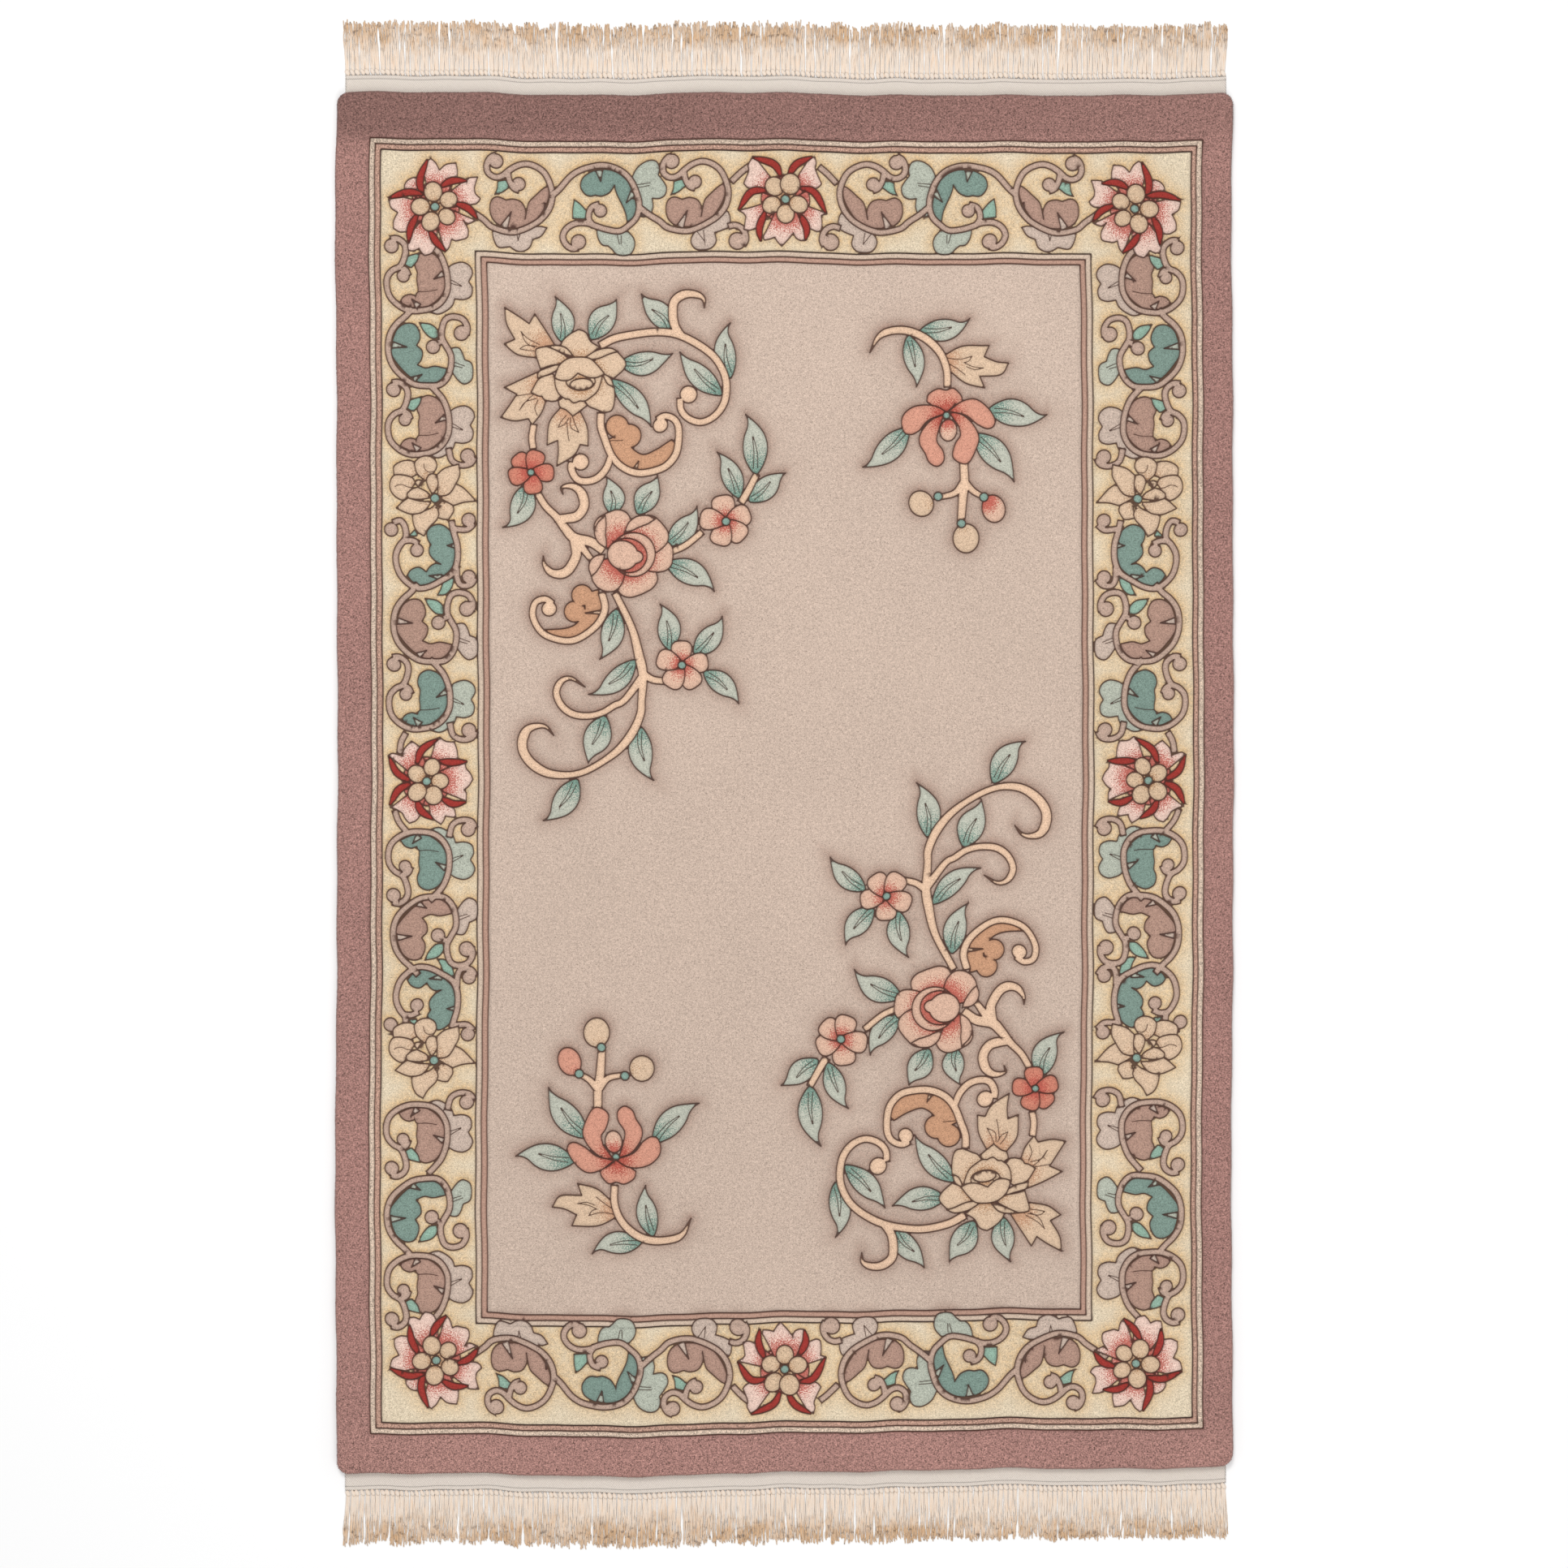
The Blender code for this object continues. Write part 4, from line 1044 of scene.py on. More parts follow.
def tops_of(chart, middles):
    """The number of the last patch drawn over each point, or -1, and the zone each point is in."""
    top = np.full(len(middles), -1)
    zone = np.zeros(len(middles), int)
    order = np.argsort(middles[:, 0])
    across = middles[order, 0]
    for number, patch in enumerate(chart.patches):
        low = patch.outline.min(axis=0)
        high = patch.outline.max(axis=0)
        near = order[np.searchsorted(across, low[0]) : np.searchsorted(across, high[0])]
        near = near[(middles[near, 1] >= low[1]) & (middles[near, 1] <= high[1])]
        found = near[inside(middles[near], patch.outline)]
        top[found] = number
        if number in ZONE_PATCHES:
            zone[found] = ZONE_PATCHES.index(number) + 1
    return top, zone


Lines = namedtuple("Lines", "points edges cut_orders")


def drawn_lines(chart):
    """All cuts and outlines of the chart, with the number of the patch that each cut's edges lie on."""
    points = []
    edges = []
    first = 0
    cut_orders = []
    for cut in chart.cuts:
        count = len(cut.line)
        points.append(cut.line)
        edges += [(first + index, first + index + 1) for index in range(count - 1)]
        cut_orders += [cut.order] * (count - 1)
        first += count
    for patch in chart.patches:
        count = len(patch.outline)
        points.append(patch.outline)
        edges += [(first + index, first + (index + 1) % count) for index in range(count)]
        first += count
    return Lines(woven(np.vstack(points)), edges, cut_orders)


def visible_lines(relief):
    """The lines of a first relief that no later patch covers, with loose points beside them."""
    edges = np.vstack((relief.cuts, relief.carved, relief.frame))
    used, edges = np.unique(edges, return_inverse=True)
    points = np.vstack((relief.points[used], relief_points(relief)))
    return Lines(points, edges.reshape(-1, 2).tolist(), [len(relief.top)] * len(relief.cuts))


class Relief:
    """The chart as a triangulated surface, with its carved lines and the patch on top of each triangle."""

    def __init__(self, chart, lines):
        points, edges, cut_orders = lines
        flat, out_edges, out_faces, _, edge_sources, _ = delaunay_2d_cdt(
            [Vector(point) for point in points.tolist()], edges, [], 0, 1e-3, True
        )
        self.points = np.array([tuple(point) for point in flat])
        faces = np.array(out_faces)
        middles = laid_back(self.points[faces].mean(axis=1))
        top, zone = tops_of(chart, middles)
        self.faces = faces[top >= 0]
        self.top = top[top >= 0]
        self.zone = zone[top >= 0]
        self.find_carved(chart, out_edges, edge_sources, cut_orders)

    def find_carved(self, chart, out_edges, edge_sources, cut_orders):
        """Edges where two groups meet, and cuts that no later patch covers."""
        groups = np.array([patch.group for patch in chart.patches])[self.top]
        sides = np.stack((self.faces, np.roll(self.faces, -1, axis=1)), axis=2)
        sides = np.sort(sides, axis=2).reshape(-1, 2).astype(np.int64)
        owners = np.repeat(np.arange(len(self.faces)), 3)
        keys = sides[:, 0] * len(self.points) + sides[:, 1]
        order = np.argsort(keys, kind="stable")
        keys = keys[order]
        pairs = np.flatnonzero(keys[1:] == keys[:-1])
        first = owners[order[pairs]]
        second = owners[order[pairs + 1]]
        highest = np.maximum(self.top[first], self.top[second])
        differ = groups[first] != groups[second]
        self.carved = sides[order[pairs[differ]]]
        self.carved_is_motif = highest[differ] >= STRIPE_PATCHES
        steps = (self.top[first] != self.top[second]) & ~differ & (highest < STRIPE_PATCHES)
        alone = np.ones(len(keys), bool)
        alone[pairs] = alone[pairs + 1] = False
        self.frame = np.vstack((sides[order[pairs[steps]]], sides[order[alone]]))
        top_of = dict(zip(keys[pairs].tolist(), highest.tolist()))
        cuts = []
        for (a, b), source in zip(out_edges, edge_sources):
            orders = [cut_orders[index] for index in source if index < len(cut_orders)]
            if orders:
                key = min(a, b) * len(self.points) + max(a, b)
                if top_of.get(key, 1 << 30) <= max(orders):
                    cuts.append((a, b))
        self.cuts = np.array(cuts, int).reshape(-1, 2)

    def samples(self, edges, spacing):
        """Points spread along some of the edges, with the direction across each."""
        start = self.points[edges[:, 0]]
        run = self.points[edges[:, 1]] - start
        length = np.linalg.norm(run, axis=1)
        counts = np.maximum(1, np.ceil(length / spacing)).astype(int)
        owner = np.repeat(np.arange(len(edges)), counts)
        offset = np.arange(len(owner)) - np.repeat(np.cumsum(counts) - counts, counts)
        share = (offset + 0.5) / counts[owner]
        across = np.stack((-run[:, 1], run[:, 0]), axis=1)[owner] / length[owner][:, None]
        return start[owner] + run[owner] * share[:, None], across


def around(points, offset):
    """Points all round each of the given ones."""
    turn = np.radians(np.arange(0, 360, 45))
    return (points[:, None] + offset * np.stack((np.cos(turn), np.sin(turn)), axis=1)).reshape(-1, 2)


def relief_points(relief):
    """Loose points beside the carved lines, where the pile rises out of them, and over open ground."""
    lines, _ = relief.samples(relief.carved, 1.2)
    cuts, _ = relief.samples(relief.cuts, 1.0)
    line_tree = tree_of(lines)
    cut_tree = tree_of(cuts)
    loose = []
    for ring in RELIEF_RINGS:
        middle, across = relief.samples(relief.carved, ring.spacing)
        beside = [middle + across * ring.offset, middle - across * ring.offset]
        beside.append(around(relief.points[np.unique(relief.carved)], ring.offset))
        found = unique_in_cells(np.vstack(beside), ring.spacing * 0.8)
        found = found[nearest(line_tree, found) > 0.82 * ring.offset]
        loose.append(found[nearest(cut_tree, found) > 0.82 * CUT_RING.offset])
    middle, across = relief.samples(relief.cuts, CUT_RING.spacing)
    beside = [middle + across * CUT_RING.offset, middle - across * CUT_RING.offset]
    beside.append(around(relief.points[np.unique(relief.cuts)], CUT_RING.offset))
    found = unique_in_cells(np.vstack(beside), CUT_RING.spacing * 0.7)
    found = found[nearest(cut_tree, found) > 0.8 * CUT_RING.offset]
    loose.append(found[nearest(line_tree, found) > 0.8 * CUT_RING.offset])
    across, along = np.meshgrid(np.arange(-540, 541, FILL_SPACING), np.arange(-836, 837, FILL_SPACING))
    fill = np.stack((across.ravel(), along.ravel()), axis=1)
    loose.append(fill[nearest(line_tree, fill) > 20])
    loose = np.vstack(loose)
    within = (np.abs(loose[:, 0]) < 545) & (np.abs(loose[:, 1]) < 842)
    return loose[within]


# Heights of the pile, in metres
PILE_TOP = 0.0150
FOUNDATION_TOP = 0.0020
EDGE_ROUND = 0.0035
GROOVE_DEPTH = 0.0032
CUT_DEPTH = 0.0022
HALO_DEPTH = 0.0014
EDGE_SOFTENING = 0.0006
SOFTENED_WIDTH = 5.0
PILE_UNEVENNESS = 0.00012
SEED = 7

# Painted shade round motifs on the three grounds, where the ground slopes down to them: its sRGB colour for each
# ground, and how strong it is at a motif's edge
HALO_SHADES = {
    "outer_mauve": ((120, 86, 80), 0.0),
    "cream_ground": ((206, 166, 112), 0.75),
    "field_beige": ((150, 121, 107), 0.85),
}


def rim_distance(points):
    """How far inside the pile's rounded outline each point is, in chart steps."""
    chart = laid_back(points)
    middle = np.array(((PILE.left + PILE.right) / 2, (PILE.low + PILE.high) / 2))
    half = np.array(((PILE.right - PILE.left) / 2, (PILE.high - PILE.low) / 2)) - CORNER_RADIUS
    beyond = np.abs(chart - middle) - half
    outside = np.linalg.norm(np.maximum(beyond, 0), axis=1)
    return CORNER_RADIUS - outside - np.minimum(beyond.max(axis=1), 0)


def painted_nap_shade(points):
    """Painted nap shade, as a brightness factor: the nap leans to the low end, so the upper band is painted darker than
    the lower one; the outer band's right side is a little darker, and the field a little lighter towards its top.
    """
    x = points[:, 0]
    y = points[:, 1]
    band_top = np.clip((y - 785) / 20, 0, 1)
    band_low = np.clip((-790 - y) / 20, 0, 1)
    side = np.clip((np.abs(x) - 505) / 12, 0, 1) * (1 - band_top) * (1 - band_low)
    nap_shade = 1 - band_top * np.clip(0.36 - 0.18 * (x + 550) / 1100, 0, 1) + band_low * 0.06
    nap_shade = nap_shade - side * 0.03 * (x > 0)
    field = (np.abs(x) < 366) & (np.abs(y) < 652)
    return nap_shade + field * 0.03 * (y / 650)


class Surface:
    """Heights at the relief's points, and colours at the corners of its triangles."""

    def __init__(self, chart, relief):
        points = relief.points
        generator = np.random.default_rng(SEED)
        lines, _ = relief.samples(relief.carved, 1.2)
        motif_lines, _ = relief.samples(relief.carved[relief.carved_is_motif], 2.5)
        cuts, _ = relief.samples(relief.cuts, 1.0)
        from_line = nearest(tree_of(lines), points)
        from_line[np.unique(relief.carved)] = 0
        from_cut = nearest(tree_of(cuts), points)
        from_cut[np.unique(relief.cuts)] = 0
        motif_tree = tree_of(motif_lines)
        found = [motif_tree.find((x, y, 0.0)) for x, y in points]
        from_motif = np.array([item[2] for item in found])
        above = np.array([y - item[0][1] for (_, y), item in zip(points, found)]) / np.maximum(from_motif, 1)
        yarn_of = [patch.yarn for patch in chart.patches]
        on_ground = np.array([yarn in GROUNDS for yarn in yarn_of])[relief.top]
        touches_motif = np.zeros(len(points), bool)
        touches_motif[relief.faces[~on_ground]] = True
        halo = np.clip(1 - from_motif / HALO_WIDTH, 0, 1) ** 1.5
        groove = np.clip(1 - from_line / GROOVE_WIDTH, 0, 1)
        cut = np.clip(1 - from_cut / CUT_WIDTH, 0, 1)
        # Where the pile is rounded off beside a carved line; the colour also gets painted shade there
        soft_edge_and_shade = np.clip(1 - from_line / SOFTENED_WIDTH, 0, 1) ** 2
        height = PILE_TOP - np.maximum(GROOVE_DEPTH * groove, CUT_DEPTH * cut) - EDGE_SOFTENING * soft_edge_and_shade
        height -= np.where(touches_motif, 0.2, 1.0) * HALO_DEPTH * halo
        height += generator.uniform(-PILE_UNEVENNESS, PILE_UNEVENNESS, len(points))
        inset = np.clip(rim_distance(points) / RIM_INSETS[-1], 0, 1)
        height -= EDGE_ROUND * (1 - np.sqrt(1 - (1 - inset) ** 2))
        self.height = height
        # Painted shade in the carved lines and cuts, stronger where a line runs across the rug
        self.groove_shade = np.maximum(groove * self.slant(relief), cut * 0.78)
        # Colours get painted shade from the halo, stronger on a motif's upper side, and from the softened edges and the
        # nap
        self.colours(chart, relief, halo * (1 + 0.3 * above), soft_edge_and_shade, painted_nap_shade(points))

    def slant(self, relief):
        """Lines across the rug look darker than lines along it, since the nap shades them."""
        run = relief.points[relief.carved[:, 1]] - relief.points[relief.carved[:, 0]]
        level = np.abs(run[:, 0]) / np.linalg.norm(run, axis=1)
        slant = np.full(len(relief.points), 0.5)
        np.maximum.at(slant, relief.carved[:, 0], 0.7 + 0.3 * level)
        np.maximum.at(slant, relief.carved[:, 1], 0.7 + 0.3 * level)
        return slant

    def colours(self, chart, relief, halo, soft_edge_and_shade, nap_shade):
        corners = relief.faces.reshape(-1)
        top = np.repeat(relief.top, 3)
        at = laid_back(relief.points)[corners]
        shades = [patch.shade or Shade("shade_brown", 0, 0, 0, 1, 0) for patch in chart.patches]
        places = np.array([(item.x, item.y, item.near, item.far, item.most) for item in shades])[top]
        distance = np.hypot(at[:, 0] - places[:, 0], at[:, 1] - places[:, 1])
        share = places[:, 4] * np.clip((places[:, 3] - distance) / np.maximum(places[:, 3] - places[:, 2], 1), 0, 1)
        base = np.array([linear(YARNS[patch.yarn]) for patch in chart.patches])
        accent = np.array([linear(YARNS[item.yarn]) for item in shades])
        strength = np.zeros(len(chart.patches))
        for index, patch in enumerate(chart.patches):
            # A ground carries its painted halo shade colour in place of a second yarn
            if patch.yarn in HALO_SHADES:
                accent[index] = linear(HALO_SHADES[patch.yarn][0])
                strength[index] = HALO_SHADES[patch.yarn][1]
        one = np.ones((len(corners), 1))
        self.yarn = np.hstack((base[top], one))
        self.accent = np.hstack((accent[top], share[:, None]))
        # The nap attribute holds painted shades: in the carved lines, round motifs on the grounds, beside the lines,
        # and along the nap, halved
        self.nap = np.stack((self.groove_shade[corners], halo[corners] * strength[top], soft_edge_and_shade[corners], nap_shade[corners] / 2), axis=1)


def loops_of(edges):
    """Closed runs of points along directed edges."""
    following = dict(edges)
    loops = []
    while following:
        start, point = following.popitem()
        loop = [start]
        while point != start:
            loop.append(point)
            point = following.pop(point)
        loops.append(loop)
    return loops


def boundary_of(faces):
    """Directed edges that only one triangle has, and that triangle's number."""
    sides = np.stack((faces, np.roll(faces, -1, axis=1)), axis=2).reshape(-1, 2)
    owners = np.repeat(np.arange(len(faces)), 3)
    known = {(a, b): owner for (a, b), owner in zip(sides.tolist(), owners.tolist())}
    return [((a, b), owner) for (a, b), owner in known.items() if (b, a) not in known]


def filled(points, loops):
    """Triangles between an outer loop and the loops inside it."""
    flat = []
    edges = []
    for loop in loops:
        first = len(flat)
        flat += [Vector(points[index][:2]) for index in loop]
        edges += [(first + index, first + (index + 1) % len(loop)) for index in range(len(loop))]
    numbers = [index for loop in loops for index in loop]
    _, _, faces, sources, _, _ = delaunay_2d_cdt(flat, edges, [], 0, 1e-9, True)
    faces = np.array([[numbers[sources[index][0]] for index in face] for face in faces])
    middles = points[faces][:, :, :2].mean(axis=1) / CHART_STEP
    odd = np.zeros(len(faces), bool)
    for loop in loops:
        odd ^= inside(middles, points[loop][:, :2] / CHART_STEP)
    return faces[odd]


def new_mesh(name, points, faces):
    mesh = bpy.data.meshes.new(name)
    mesh.vertices.add(len(points))
    mesh.vertices.foreach_set("co", np.asarray(points, np.float32).ravel())
    mesh.loops.add(3 * len(faces))
    mesh.loops.foreach_set("vertex_index", np.asarray(faces, np.int32).ravel())
    mesh.polygons.add(len(faces))
    mesh.polygons.foreach_set("loop_start", np.arange(0, 3 * len(faces), 3, dtype=np.int32))
    mesh.polygons.foreach_set("use_smooth", np.ones(len(faces), bool))
    mesh.update(calc_edges=True)
    mesh.validate()
    return mesh


def new_object(name, mesh):
    thing = bpy.data.objects.new(name, mesh)
    bpy.context.scene.collection.objects.link(thing)
    return thing


def corner_colours(mesh, name, values):
    attribute = mesh.color_attributes.new(name, "FLOAT_COLOR", "CORNER")
    attribute.data.foreach_set("color", np.asarray(values, np.float32).ravel())


def pile_piece(name, relief, surface, zone):
    """One closed piece of the pile: its carved top, walls down to the foundation, and a flat base."""
    chosen = np.flatnonzero(relief.zone == zone)
    faces = relief.faces[chosen]
    used, faces = np.unique(faces, return_inverse=True)
    faces = faces.reshape(-1, 3)
    flat = relief.points[used] * CHART_STEP
    top = np.column_stack((flat, surface.height[used]))
    winding = np.cross(top[faces[:, 1], :2] - top[faces[:, 0], :2], top[faces[:, 2], :2] - top[faces[:, 0], :2])
    corner = (3 * chosen[:, None] + np.arange(3))
    turned = winding < 0
    faces[turned] = faces[turned][:, ::-1]
    corner[turned] = corner[turned][:, ::-1]
    boundary = boundary_of(faces)
    rim = sorted({point for edge, _ in boundary for point in edge})
    below = {point: len(top) + index for index, point in enumerate(rim)}
    points = np.vstack((top, top[rim] * (1, 1, 0) + (0, 0, FOUNDATION_TOP)))
    walls = []
    wall_corners = []
    for (a, b), owner in boundary:
        walls += [(b, a, below[a]), (b, below[a], below[b])]
        row = corner[owner]
        place_a = row[list(faces[owner]).index(a)]
        place_b = row[list(faces[owner]).index(b)]
        wall_corners += [(place_b, place_a, place_a), (place_b, place_a, place_b)]
    loops = loops_of([edge for edge, _ in boundary])
    loops.sort(key=len, reverse=True)
    base = filled(points, [[below[point] for point in loop] for loop in loops])
    winding = np.cross(points[base[:, 1], :2] - points[base[:, 0], :2], points[base[:, 2], :2] - points[base[:, 0], :2])
    base[winding > 0] = base[winding > 0][:, ::-1]
    all_faces = np.vstack((faces, np.array(walls), base))
    mesh = new_mesh(name, points, all_faces)
    picks = np.concatenate((corner.ravel(), np.array(wall_corners).ravel(), np.full(base.size, corner[0, 0])))
    wall_start = corner.size
    nap = surface.nap[picks]
    # The pile's side walls get a little painted shade, through the third value
    nap[wall_start:, :3] = (0.0, 0.0, 0.6)
    corner_colours(mesh, "yarn", surface.yarn[picks])
    corner_colours(mesh, "accent", surface.accent[picks])
    corner_colours(mesh, "nap", nap)
    return new_object(name, mesh)


class Socket:
    """A node's output that Python's operators work on: each adds the Math or Vector Math node it needs."""

    def __init__(self, nodes, output):
        self.nodes = nodes
        self.output = output

    def math(self, operation, *others):
        return self.nodes.node("ShaderNodeMath", {"operation": operation}, self, *others)

    def __add__(self, other):
        return self.math("ADD", other)

    __radd__ = __add__

    def __mul__(self, other):
        return self.math("MULTIPLY", other)

    __rmul__ = __mul__

    def __sub__(self, other):
        return self.math("SUBTRACT", other)

    def __rsub__(self, other):
        return self.nodes.node("ShaderNodeMath", {"operation": "SUBTRACT"}, other, self)

    def __truediv__(self, other):
        return self.math("DIVIDE", other)

    def __pow__(self, other):
        return self.math("POWER", other)

    def clamp(self):
        return self.nodes.node("ShaderNodeClamp", {}, self)


class Nodes:
    """The nodes of one material."""

    def __init__(self, name):
        self.material = bpy.data.materials.new(name)
        self.material.use_nodes = True
        self.tree = self.material.node_tree
        self.shader = self.tree.nodes["Principled BSDF"]

    def node(self, kind, settings, *values, output=0, **named):
        """Adds a node, with its settings first, then the values or links of its inputs."""
        node = self.tree.nodes.new(kind)
        for key, value in settings.items():
            setattr(node, key, value)
        for key, value in list(enumerate(values)) + list(named.items()):
            if value is None:
                continue
            self.feed(node.inputs[key], value)
        return Socket(self, node.outputs[output])

    def feed(self, entry, value):
        if isinstance(value, Socket):
            self.tree.links.new(value.output, entry)
        else:
            entry.default_value = value

    def mix(self, factor, first, second, blend="MIX"):
        node = self.tree.nodes.new("ShaderNodeMix")
        node.data_type = "RGBA"
        node.blend_type = blend
        self.feed(node.inputs[0], factor)
        self.feed(node.inputs[6], first)
        self.feed(node.inputs[7], second)
        return Socket(self, node.outputs[2])

    def place(self):
        return self.node("ShaderNodeTexCoord", {}, output="Object")

    def noise(self, place, scale, detail=2.0, roughness=0.5):
        return self.node("ShaderNodeTexNoise", {}, Vector=place, Scale=scale, Detail=detail, Roughness=roughness)

    def finish(self, colour, roughness, bump, distance):
        shader = self.shader.inputs
        normal = self.node("ShaderNodeBump", {}, Strength=1.0, Distance=distance, Height=bump)
        self.feed(shader["Base Color"], colour)
        self.feed(shader["Normal"], normal)
        self.feed(shader["Roughness"], roughness)
        shader["Specular IOR Level"].default_value = 0.15
        shader["Sheen Weight"].default_value = 0.08
        shader["Sheen Roughness"].default_value = 0.6
        return self.material


def colour_of(name):
    return (*linear(YARNS[name]), 1.0)


def wool_material(name, strength, settings):
    """Cut wool pile: knots of one or two yarns, speckled by the cut ends, with painted shade in and beside the carved
    lines, round motifs on the grounds, and painted nap shade.
    """
    nodes = Nodes(name)
    place = nodes.place()
    yarn = nodes.node("ShaderNodeAttribute", {"attribute_name": "yarn"})
    accent = nodes.node("ShaderNodeAttribute", {"attribute_name": "accent"})
    share = Socket(nodes, accent.output.node.outputs["Alpha"])
    # Painted shades of each corner: carved lines, halo, softened edges and nap
    nap = nodes.node("ShaderNodeAttribute", {"attribute_name": "nap"})
    parts = nodes.node("ShaderNodeSeparateColor", {}, nap)
    groove_shade = Socket(nodes, parts.output.node.outputs[0])
    halo = Socket(nodes, parts.output.node.outputs[1])
    soft_edge_and_shade = Socket(nodes, parts.output.node.outputs[2])
    nap_shade = Socket(nodes, nap.output.node.outputs["Alpha"]) * 2.0
    grain = nodes.noise(place, 0.9 / settings.knot_pitch, 2.0, 0.6)
    knots = nodes.noise(place, 2.1 / settings.knot_pitch, 1.0, 0.4)
    fibres = nodes.noise(place, 1100.0, 2.0, 0.6)
    drift = nodes.noise(place, 5.0, 2.0, 0.5)
    height = Socket(nodes, nodes.node("ShaderNodeSeparateXYZ", {}, place).output.node.outputs["Y"])
    rows = nodes.node("ShaderNodeMath", {"operation": "SINE"}, height * (2 * math.pi / settings.knot_pitch))
    chosen = ((share - (knots - 0.5) * 1.7 - 0.5) * 2.4 + 0.5).clamp()
    colour = nodes.mix(chosen * 0.9, yarn, accent)
    # Painted shade round motifs on the grounds
    colour = nodes.mix((halo * (0.75 + (grain - 0.5) * 1.2)).clamp(), colour, accent)
    speckle = (fibres - 0.5) * 0.62 + (knots - 0.5) * 0.34 + (grain - 0.5) * 0.26
    light = nap_shade * (1.0 + speckle * strength + (drift - 0.5) * (0.05 + 0.045 * strength) + rows * 0.012)
    # Painted shade beside the carved lines
    light = light * (1.0 - soft_edge_and_shade * 0.1)
    colour = nodes.mix(1.0, colour, nodes.node("ShaderNodeCombineXYZ", {}, light, light, light), "MULTIPLY")
    # Painted shade: the colour in the carved lines is mixed towards dark brown
    dark = ((groove_shade * 1.45) ** 1.3).clamp() * settings.groove_darkness
    colour = nodes.mix(dark, colour, colour_of("shade_brown"))
    bump = fibres * 0.5 + knots * 0.7 + rows * 0.05
    return nodes.finish(colour, 0.95, bump, 0.0006)


def foundation_sheet(name, relief):
    """The woven foundation: flat, with the knots' backs on its underside in the colours of the pattern."""
    used, faces = np.unique(relief.faces, return_inverse=True)
    faces = faces.reshape(-1, 3)
    flat = relief.points[used] * CHART_STEP
    winding = np.cross(flat[faces[:, 1]] - flat[faces[:, 0]], flat[faces[:, 2]] - flat[faces[:, 0]])
    faces[winding > 0] = faces[winding > 0][:, ::-1]
    boundary = [edge for edge, _ in boundary_of(faces)]
    rim = sorted({point for edge in boundary for point in edge})
    above = {point: len(flat) + index for index, point in enumerate(rim)}
    points = np.vstack((np.column_stack((flat, np.zeros(len(flat)))), [(*flat[item], FOUNDATION_TOP) for item in rim]))
    walls = [face for a, b in boundary for face in ((b, a, above[a]), (b, above[a], above[b]))]
    cover = filled(points, [[above[point] for point in loop] for loop in loops_of(boundary)])
    winding = np.cross(points[cover[:, 1], :2] - points[cover[:, 0], :2], points[cover[:, 2], :2] - points[cover[:, 0], :2])
    cover[winding < 0] = cover[winding < 0][:, ::-1]
    return points, np.vstack((faces, np.array(walls), cover)), len(faces)


def knotted_back_material(settings):
    """The underside: two loops of yarn for each knot, in rows."""
    nodes = Nodes("knotted_back")
    place = nodes.place()
    yarn = nodes.node("ShaderNodeAttribute", {"attribute_name": "yarn"})
    parts = nodes.node("ShaderNodeSeparateXYZ", {}, place)
    across = Socket(nodes, parts.output.node.outputs["X"])
    along = Socket(nodes, parts.output.node.outputs["Y"])
    loops = nodes.node("ShaderNodeMath", {"operation": "SINE"}, across * (4 * math.pi / settings.knot_pitch))
    rows = nodes.node("ShaderNodeMath", {"operation": "SINE"}, along * (2 * math.pi / settings.knot_pitch))
    grain = nodes.noise(place, 500.0)
    light = 0.82 + loops * 0.07 + rows * 0.1 + (grain - 0.5) * 0.3
    colour = nodes.mix(1.0, yarn, nodes.node("ShaderNodeCombineXYZ", {}, light, light, light), "MULTIPLY")
    return nodes.finish(colour, 0.95, loops * 0.5 + rows * 0.7, 0.0008)


def rim_wool_material(settings):
    """Wool of the pile's outer edge: the outer band's yarn, with painted nap shade that makes it darker at the upper
    end.
    """
    nodes = Nodes("rim_wool")
    place = nodes.place()
    along = Socket(nodes, nodes.node("ShaderNodeSeparateXYZ", {}, place).output.node.outputs["Y"])
    grain = nodes.noise(place, 700.0)
    # Painted nap shade: darker at the upper end
    upper = ((along - 0.88) * 40.0).clamp()
    light = (1.0 - upper * 0.3) * (1.0 + (grain - 0.5) * 0.7)
    light = nodes.node("ShaderNodeCombineXYZ", {}, light, light, light)
    colour = nodes.mix(1.0, colour_of("outer_mauve"), light, "MULTIPLY")
    return nodes.finish(colour, 0.95, grain, 0.0005)


